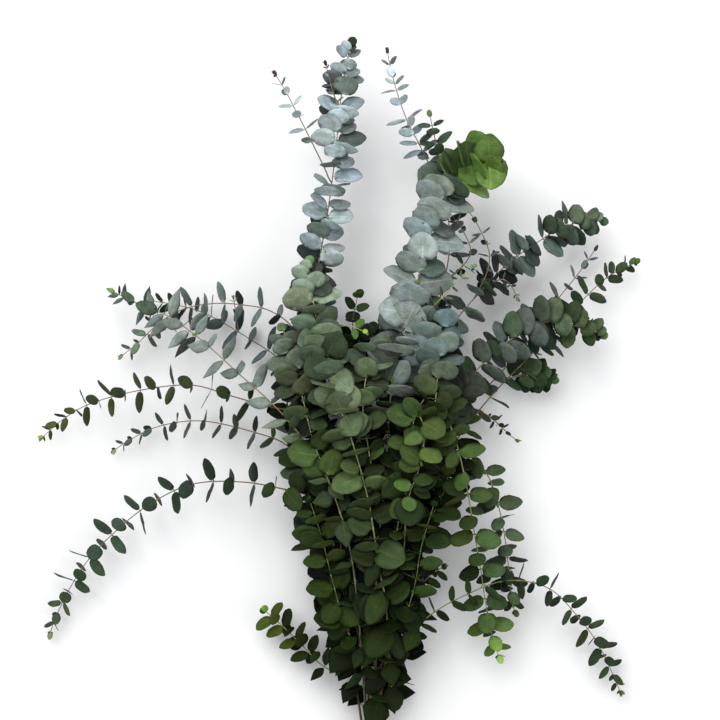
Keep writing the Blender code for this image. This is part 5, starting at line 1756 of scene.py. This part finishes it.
@dataclass
class Foliage:
    """The leaves of every stem, grown by one tree from a point for each leaf."""

    layout: Layout
    place: Vector  # of the point under the tie, in millimetres
    thickness: float = 0.00045
    cover_reach: float = 15.0  # how near a leaf's middle has to be to lie over another
    cover_rise: float = 3.0  # and how much higher
    cover_fade: float = 2.6  # leaves over one that take most of its light
    low_shade: str = "34500f"  # what the light inside the bunch turns leaves to, low down
    high_shade: str = "4c6a34"
    bare: str = "2e4426"  # a leaf that has lost its bloom

    def __post_init__(self) -> None:
        """Makes the blades and the tree, and counts what lies over each leaf."""
        self.shelf = bpy.data.collections.new("blades")
        for kind in BladeKind:
            self.shelf.objects.link(BladeShape(kind).build())
        self.buried = self.count_cover()
        self.tree = self.build_tree()

    def count_cover(self) -> dict[int, int]:
        """How many leaves lie over each leaf, by the leaf's identity, for the painted shade of leaves under
        others.

        Returns:
            The numbers.
        """
        middles = [leaf.point(0.5, 0.0) for _, _, leaf in self.layout.blades]
        near = KDTree(len(middles))
        for k, middle in enumerate(middles):
            near.insert((middle.x, middle.y, 0.0), k)
        near.balance()
        found = {}
        for (_, _, leaf), middle in zip(self.layout.blades, middles):
            others = near.find_range((middle.x, middle.y, 0.0), self.cover_reach)
            found[id(leaf)] = sum(middles[k].z > middle.z + self.cover_rise for _, k, _ in others)
        return found

    def build_tree(self) -> GeometryTree:
        """The tree that puts a blade on each point and bends it to that leaf's form.

        Returns:
            The tree.
        """
        t = GeometryTree("foliage", {"Blades": "NodeSocketCollection", "Finish": "NodeSocketMaterial",
                                     "Thickness": "NodeSocketFloat", "Low corner": "NodeSocketVector",
                                     "High corner": "NodeSocketVector"})
        blades = t.add("GeometryNodeCollectionInfo", {"transform_space": "RELATIVE"},
                       {"Collection": t.given("Blades"), "Separate Children": True, "Reset Children": True})
        grown = t.add("GeometryNodeInstanceOnPoints", {}, {
            "Points": t.given("Geometry"), "Instance": blades, "Pick Instance": True,
            "Instance Index": t.stored("outline", "INT")})
        real = t.add("GeometryNodeRealizeInstances", {}, {"Geometry": grown})
        u, y, side = t.split(t.stored("blade"))
        length, width, stalk = t.split(t.stored("size"))
        curl, cup, wave = t.split(t.stored("bend"))
        on_blade = u.math("MAXIMUM", 0.0)
        reach = stalk * (1.0 + u.math("MINIMUM", 0.0) * 1.7) + on_blade * length
        breadth = y * width * 0.5
        spread = y * y
        lift = spread * cup * width * on_blade - on_blade * on_blade * curl * length
        ripple = (on_blade * 9.0 + wave * 40.0 + y * 1.5).math("SINE") * spread * width * 0.022
        groove = abs(y).ramp(0.0, 0.16, -0.35, 0.0) * on_blade.ramp(0.0, 0.15)
        skin = t.given("Thickness") * 0.5 * side * abs(y).ramp(0.5, 1.0, 1.0, 0.45)
        height = lift + ripple + groove * t.given("Thickness") + skin
        spot = t.vector("ADD", t.stored("root"), t.stretched(t.stored("along"), reach))
        spot = t.vector("ADD", spot, t.stretched(t.stored("across"), breadth))
        spot = t.vector("ADD", spot, t.stretched(t.stored("normal"), height))
        skin_off_floor = t.add("ShaderNodeCombineXYZ", {}, {"Z": side.ramp(-1.0, 1.0, 0.0002, 0.0006)})
        spot = t.vector("MAXIMUM", spot, t.vector("ADD", t.given("Low corner"), skin_off_floor))
        spot = t.vector("MINIMUM", spot, t.given("High corner"))
        shaped = t.add("GeometryNodeSetPosition", {}, {"Geometry": real, "Position": spot})
        smooth = t.add("GeometryNodeSetShadeSmooth", {}, {"Geometry": shaped, "Shade Smooth": True})
        t.close(t.add("GeometryNodeSetMaterial", {}, {"Geometry": smooth, "Material": t.given("Finish")}))
        return t

    def colour_of(self, curve: Curve, s: float, leaf: Leaf, draw: random.Random) -> tuple[float, ...]:
        """A leaf's colour, from its sprig's look and its place on it, with painted shade for leaves inside
        the bunch, under other leaves and low down.

        Args:
            curve: The sprig that it grows on.
            s: The distance along it.
            leaf: The leaf.
            draw: Its source of chance.

        Returns:
            The colour, linear.
        """
        look = LOOKS[curve.sprig.name]
        foot, middle, young, bud = map(linear, look.colours.split()[:4])
        from_tip = curve.length - s
        at = leaf.point(0.5, 0.0)
        if from_tip < 0.5:
            gain = 1 - 0.5 * CROWN.holds(at)
            return (*(value * gain for value in bud), 1.0)
        share = s / curve.length
        colour = blend(foot, middle, ramp(0.25, look.reached, share))
        colour = blend(young, colour, ramp(look.young_over * 0.7, look.young_over * 1.5, from_tip))
        colour = blend(bud, colour, ramp(2.0, 9.0, from_tip))
        inside = BODY.holds(at)
        # Painted shade: leaves inside the body of the bunch are blended towards dark shade greens, more so
        # low down.
        shade = blend(linear(self.low_shade), linear(self.high_shade), ramp(90.0, 330.0, at.y))
        colour = blend(colour, shade, 0.65 * inside * (1 + 0.3 * ramp(300.0, 100.0, at.y)))
        spread = 0.26 + 0.18 * inside + 0.2 * MIXED.holds(at)
        # Painted shade: the more leaves lie over a leaf, the darker its colour.
        light = max(0.06, 1.07 * math.exp(-self.buried[id(leaf)] / self.cover_fade))
        gain = draw.uniform(1 - spread, 1 + spread) * light
        # Painted shade: leaves near the middle line are darker low in the bunch.
        gain *= 1 - ramp(130.0, 90.0, abs(at.x)) * float(np.interp(at.y, *LOW_SHADE))
        if draw.random() < look.turned:
            colour = blend(colour, linear(self.bare), 0.75)
        warm = draw.uniform(-0.14, 0.14) * (1 - look.bloom) + 0.12 * CROWN.holds(at)
        return (colour[0] * gain * (1 + warm), colour[1] * gain, colour[2] * gain * (1 - warm), 1.0)

    def outline_of(self, curve: Curve, leaf: Leaf, draw: random.Random) -> int:
        """Which outline suits a leaf.

        Args:
            curve: The sprig that it grows on.
            leaf: The leaf.
            draw: Its source of chance.

        Returns:
            The outline's number.
        """
        if draw.random() < max(LOOKS[curve.sprig.name].pointed, 0.75 * FOOT.holds(leaf.root)):
            return BladeKind.POINTED.value
        return (BladeKind.ROUND, BladeKind.OVAL)[draw.random() < 0.3].value

    def build(self, node: str) -> bpy.types.Object:
        """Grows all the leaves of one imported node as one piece.

        Args:
            node: The node that the piece stands for.

        Returns:
            The finished piece.
        """
        own = [row for row in self.layout.blades if self.layout.node_of(row[0]) == node]
        looks = [LOOKS[c.sprig.name] for c, _, _ in own]
        leaves = [leaf for _, _, leaf in own]
        draw = random.Random(f"{SEED} colour {node}")
        mesh = bpy.data.meshes.new("points")
        roots = [(leaf.root + self.place) * MM for leaf in leaves]
        mesh.from_pydata(roots, [], [])
        store(mesh, "root", roots)
        for name in ("along", "across", "normal"):
            store(mesh, name, [getattr(leaf, name) for leaf in leaves])
        store(mesh, "size", [(leaf.length * MM, leaf.width * look.breadth * MM,
                              min(PETIOLE, leaf.length * 0.1) * MM) for look, leaf in zip(looks, leaves)])
        store(mesh, "bend", [(leaf.curl, leaf.cup, draw.random()) for leaf in leaves])
        store(mesh, "tint", [self.colour_of(*row, draw) for row in own], "FLOAT_COLOR")
        store(mesh, "outline", [self.outline_of(c, leaf, draw) for c, _, leaf in own], "INT")
        # The bloom is weakened on leaves inside the body of the bunch, as part of the painted shade there.
        store(mesh, "mood", [(look.rim * draw.uniform(0.6, 1.3),
                              look.bloom * (1 - 0.7 * BODY.holds(leaf.point(0.5, 0.0))), draw.random())
                             for look, leaf in zip(looks, leaves)])
        finish = LeafFinish(f"{node}_leaf_finish")
        return self.tree.grow(mesh, f"{node}_leaves", {
            "Blades": self.shelf, "Finish": finish.material, "Thickness": self.thickness,
            "Low corner": tuple(CAD_BOX[0]), "High corner": tuple(CAD_BOX[1])})

    def put_away(self) -> None:
        """Removes the blades that the tree copied."""
        for blade in list(self.shelf.objects):
            bpy.data.objects.remove(blade)
        bpy.data.collections.remove(self.shelf)


# Bark low in the bunch where it catches the light
GLIMPSES = {
    "stem_large_leaf": "a49c22", "stem_front": "7c3a1c", "stem_fall_front": "8c8a2c", "stem_tall": "6e321c",
    "stem_fall_right": "7e4a20", "stem_right_upper": "8c8c3c", "stem_left_upper": "5c6a34",
}


@dataclass
class Wood:
    """The stems and shoots of every node, swept along their curves by one tree."""

    layout: Layout
    place: Vector  # of the point under the tie, in millimetres
    step: float = 3.0  # between two sections
    girth: float = 0.7  # over half the width in the layout
    node_swell: float = 0.4
    node_reach: float = 1.5
    sides: int = 8
    node_ring: str = "b0b27e"
    cut: str = "cfc79a"  # the pale wood at the cut ends
    # Painted shade: the dark colour that the bark inside the bunch is blended to.
    shaded: str = "2f2c18"  # bark inside the bunch

    def __post_init__(self) -> None:
        """Makes the tree that sweeps the stems."""
        self.tree = self.build_tree()

    def build_tree(self) -> GeometryTree:
        """The tree that sweeps a round section along each line of points.

        Returns:
            The tree.
        """
        t = GeometryTree("wood", {"Finish": "NodeSocketMaterial", "Sides": "NodeSocketInt"})
        line = t.add("GeometryNodeMeshToCurve", {}, {"Mesh": t.given("Geometry")})
        radius = t.stored("girth", "FLOAT")
        line = t.add("GeometryNodeSetCurveRadius", {}, {"Curve": line, "Radius": radius})
        circle = {"Resolution": t.given("Sides"), "Radius": 1.0}
        section = t.add("GeometryNodeCurvePrimitiveCircle", {}, circle)
        inputs = {"Curve": line, "Profile Curve": section, "Fill Caps": True}
        swept = t.add("GeometryNodeCurveToMesh", {}, inputs)
        node = swept.output.node
        if "Scale" in node.inputs:
            t.tree.links.new(radius.output, node.inputs["Scale"])
        smooth = t.add("GeometryNodeSetShadeSmooth", {}, {"Geometry": swept, "Shade Smooth": True})
        real = t.add("GeometryNodeRealizeInstances", {}, {"Geometry": smooth})
        t.close(t.add("GeometryNodeSetMaterial", {}, {"Geometry": real, "Material": t.given("Finish")}))
        return t

    def stations(self, curve: Curve) -> list[tuple[Vector, float, tuple[float, ...]]]:
        """The points of a stem with its girth and colour at each.

        Args:
            curve: The stem or shoot.

        Returns:
            Point, radius and colour, from its foot to its tip, in millimetres.
        """
        bark, bark_tip = map(linear, LOOKS[curve.sprig.name].colours.split()[4:])
        nodes = sorted({round(s, 2) for c, s, _ in self.layout.blades if c is curve and s < curve.length})
        marks = set(np.linspace(0, curve.length, max(4, round(curve.length / self.step))).tolist())
        marks |= {s + k for s in nodes for k in (-1.2, 0.0, 1.2) if 0 < s + k < curve.length}
        if not curve.sprig.parent:
            marks |= {0.5}
        found = []
        for s in sorted(marks):
            near = min((abs(s - n) for n in nodes), default=99.0)
            swell = self.node_swell * math.exp(-((near / self.node_reach) ** 2))
            share = s / curve.length
            colour = blend(bark, bark_tip, ramp(0.3, 0.9, share))
            colour = blend(colour, linear(self.node_ring), 0.45 * math.exp(-((near / 2.0) ** 2)))
            if not curve.sprig.parent:
                colour = blend(linear(self.cut), colour, ramp(0.0, 0.6, s))
                # Painted shade: the bark is darkened low in the bunch; near the tie a listed glimpse colour
                # takes over, else more of the same shade.
                colour = blend(linear(self.shaded), colour, 0.25 + 0.75 * ramp(90.0, 420.0, s))
                glimpse = linear(GLIMPSES.get(curve.sprig.name, self.shaded))
                colour = blend(colour, glimpse, 0.85 * ramp(4.0, 20.0, s) * ramp(190.0, 100.0, s))
            found.append((curve.at(s), curve.half(s) * self.girth * (1 + swell), (*colour, 1.0)))
        return found

    def build(self, node: str) -> bpy.types.Object:
        """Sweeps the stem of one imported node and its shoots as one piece."""
        lines = [self.stations(c) for c in self.layout.curves if self.layout.node_of(c) == node]
        return self.sweep(lines, f"{node}_wood", WoodFinish(f"{node}_wood_finish"), self.sides)

    def sweep(self, lines: list[list], name: str, finish: Finish, sides: int) -> bpy.types.Object:
        """Sweeps a round section along lines.

        Args:
            lines: For each line its points, each with a radius and a colour, in millimetres.
            name: The name of the finished piece.
            finish: What it is made of.
            sides: Of the section.

        Returns:
            The finished piece.
        """
        points, edges, radii, tones = [], [], [], []
        for line in lines:
            edges += [(k, k + 1) for k in range(len(points), len(points) + len(line) - 1)]
            for point, radius, tone in line:
                points.append((point + self.place) * MM)
                radii.append(radius * MM)
                tones.append(tone)
        mesh = bpy.data.meshes.new("lines")
        mesh.from_pydata(points, edges, [])
        store(mesh, "girth", radii, "FLOAT")
        store(mesh, "tone", tones, "FLOAT_COLOR")
        return self.tree.grow(mesh, name, {"Finish": finish.material, "Sides": sides})


@dataclass(frozen=True)
class Tie:
    """Twine wound round the stems, two strands twisted together."""

    turns: int = 5
    pitch: float = 2.0
    thickness: float = 1.9
    strand_turns: int = 26  # twists in one turn round the bundle
    points_a_turn: int = 240
    inset: float = 0.08  # from the outside of the solids' band
    plump: float = 1.12  # a strand's girth over what would just fit
    sides: int = 6
    fibre: str = "a98c5f"

    def build(self, wood: Wood) -> bpy.types.Object:
        """Winds the twine inside the band of the solids.

        Args:
            wood: Sweeps a section along the lines of the strands.

        Returns:
            The finished piece.
        """
        ring = TIE_OUTER - self.thickness / 2 - self.inset
        strand = self.thickness / 4
        colour = (*linear(self.fibre), 1.0)
        lines = []
        for which in (0, 1):
            line = []
            for k in range(self.turns * self.points_a_turn + 1):
                turn = k / self.points_a_turn
                angle = 2 * math.pi * turn
                twist = 2 * math.pi * turn * self.strand_turns + which * math.pi
                out = ring + strand * math.cos(twist)
                y = (turn - self.turns / 2) * self.pitch + strand * math.sin(twist)
                point = Vector((TIE_CENTRE_X + out * math.sin(angle), y, TIE_OUTER + out * math.cos(angle)))
                line.append((point, strand * self.plump, colour))
            lines.append(line)
        return wood.sweep(lines, "tie_twine", TwineFinish("tie_finish"), self.sides)


@dataclass(frozen=True)
class Studio:
    """The pale floor, the soft lights and the camera over the bunch."""

    centre: tuple[float, float] = (-17.25, 442.75)  # of the photograph's frame, on the routes' plane
    across: float = 828.0
    height: float = 60.0  # of the plane that is 828 mm across
    distance: float = 2500.0
    floor_size: float = 12.0
    floor_gap: float = 0.0002  # under the bunch, in metres
    sensor: float = 36.0
    lights: tuple = (("key", (-0.9, 1.7, 3.0), 3.0, 104.0), ("fill", (2.2, -0.4, 2.6), 2.8, 34.0))
    sky: float = 0.52

    def build(self, place: Vector) -> None:
        """Makes the floor, the lights and the camera.

        Args:
            place: Where the point under the tie is, in millimetres.
        """
        self.build_floor()
        middle = (Vector((*self.centre, self.height)) + place) * MM
        self.build_camera(middle)
        for name, way, size, power in self.lights:
            self.build_light(name, middle, Vector(way), size, power)
        world = bpy.data.worlds.new("studio")
        world.use_nodes = True
        background = world.node_tree.nodes["Background"]
        background.inputs["Color"].default_value = (0.97, 0.98, 1.0, 1)
        background.inputs["Strength"].default_value = self.sky
        bpy.context.scene.world = world
        bpy.context.scene.view_settings.view_transform = "Standard"

    def build_floor(self) -> None:
        """Makes the floor, a hair under the bunch."""
        half = self.floor_size / 2
        mesh = bpy.data.meshes.new("floor")
        corners = [(x * half, y * half, -self.floor_gap) for x, y in ((-1, -1), (1, -1), (1, 1), (-1, 1))]
        mesh.from_pydata(corners, [], [(0, 1, 2, 3)])
        mesh.materials.append(FloorFinish("floor_finish").material)
        floor = bpy.data.objects.new("floor", mesh)
        bpy.context.scene.collection.objects.link(floor)

    def build_camera(self, middle: Vector) -> None:
        """Looks straight down on the bunch, as the photograph does on its front.

        Args:
            middle: What it looks at.
        """
        data = bpy.data.cameras.new("camera")
        data.sensor_fit = "HORIZONTAL"
        data.sensor_width = self.sensor
        data.lens = self.sensor * self.distance / self.across
        data.clip_start, data.clip_end = 0.05, 50.0
        camera = bpy.data.objects.new("camera", data)
        camera.location = middle + Vector((0, 0, self.distance * MM))
        bpy.context.scene.collection.objects.link(camera)
        bpy.context.scene.camera = camera

    def build_light(self, name: str, middle: Vector, way: Vector, size: float, power: float) -> None:
        """Adds one square soft light.

        Args:
            name: Its name.
            middle: What it shines on.
            way: Where it hangs from there, in metres.
            size: Its side in metres.
            power: Its power in watts.
        """
        data = bpy.data.lights.new(name, "AREA")
        data.shape = "SQUARE"
        data.size = size
        data.energy = power
        light = bpy.data.objects.new(name, data)
        light.location = middle + way
        light.rotation_euler = (-way).to_track_quat("-Z", "Y").to_euler()
        bpy.context.scene.collection.objects.link(light)


def main() -> None:
    """Builds the dressed bunch, piece by piece."""
    logging.basicConfig(level=logging.INFO, format="%(message)s")
    low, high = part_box("tie")
    place = Vector(((low.x + high.x) / 2 / MM - TIE_CENTRE_X, (low.y + high.y) / 2 / MM, 0.0))
    layout = Layout()
    log.info("layout: %d sprigs, %d leaves", len(layout.curves), len(layout.blades))
    Studio().build(place)
    foliage, wood = Foliage(layout, place), Wood(layout, place)
    for node in [curve.sprig.name for curve in layout.curves if not curve.sprig.parent]:
        for piece in (foliage.build(node), wood.build(node)):
            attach(piece, "root")
            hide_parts(node)
            log.info("%s: %d faces", piece.name, len(piece.data.polygons))
    foliage.put_away()
    tie = Tie().build(wood)
    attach(tie, "root")
    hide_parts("tie")
    log.info("%s: %d faces", tie.name, len(tie.data.polygons))


if __name__ == "__main__":
    main()
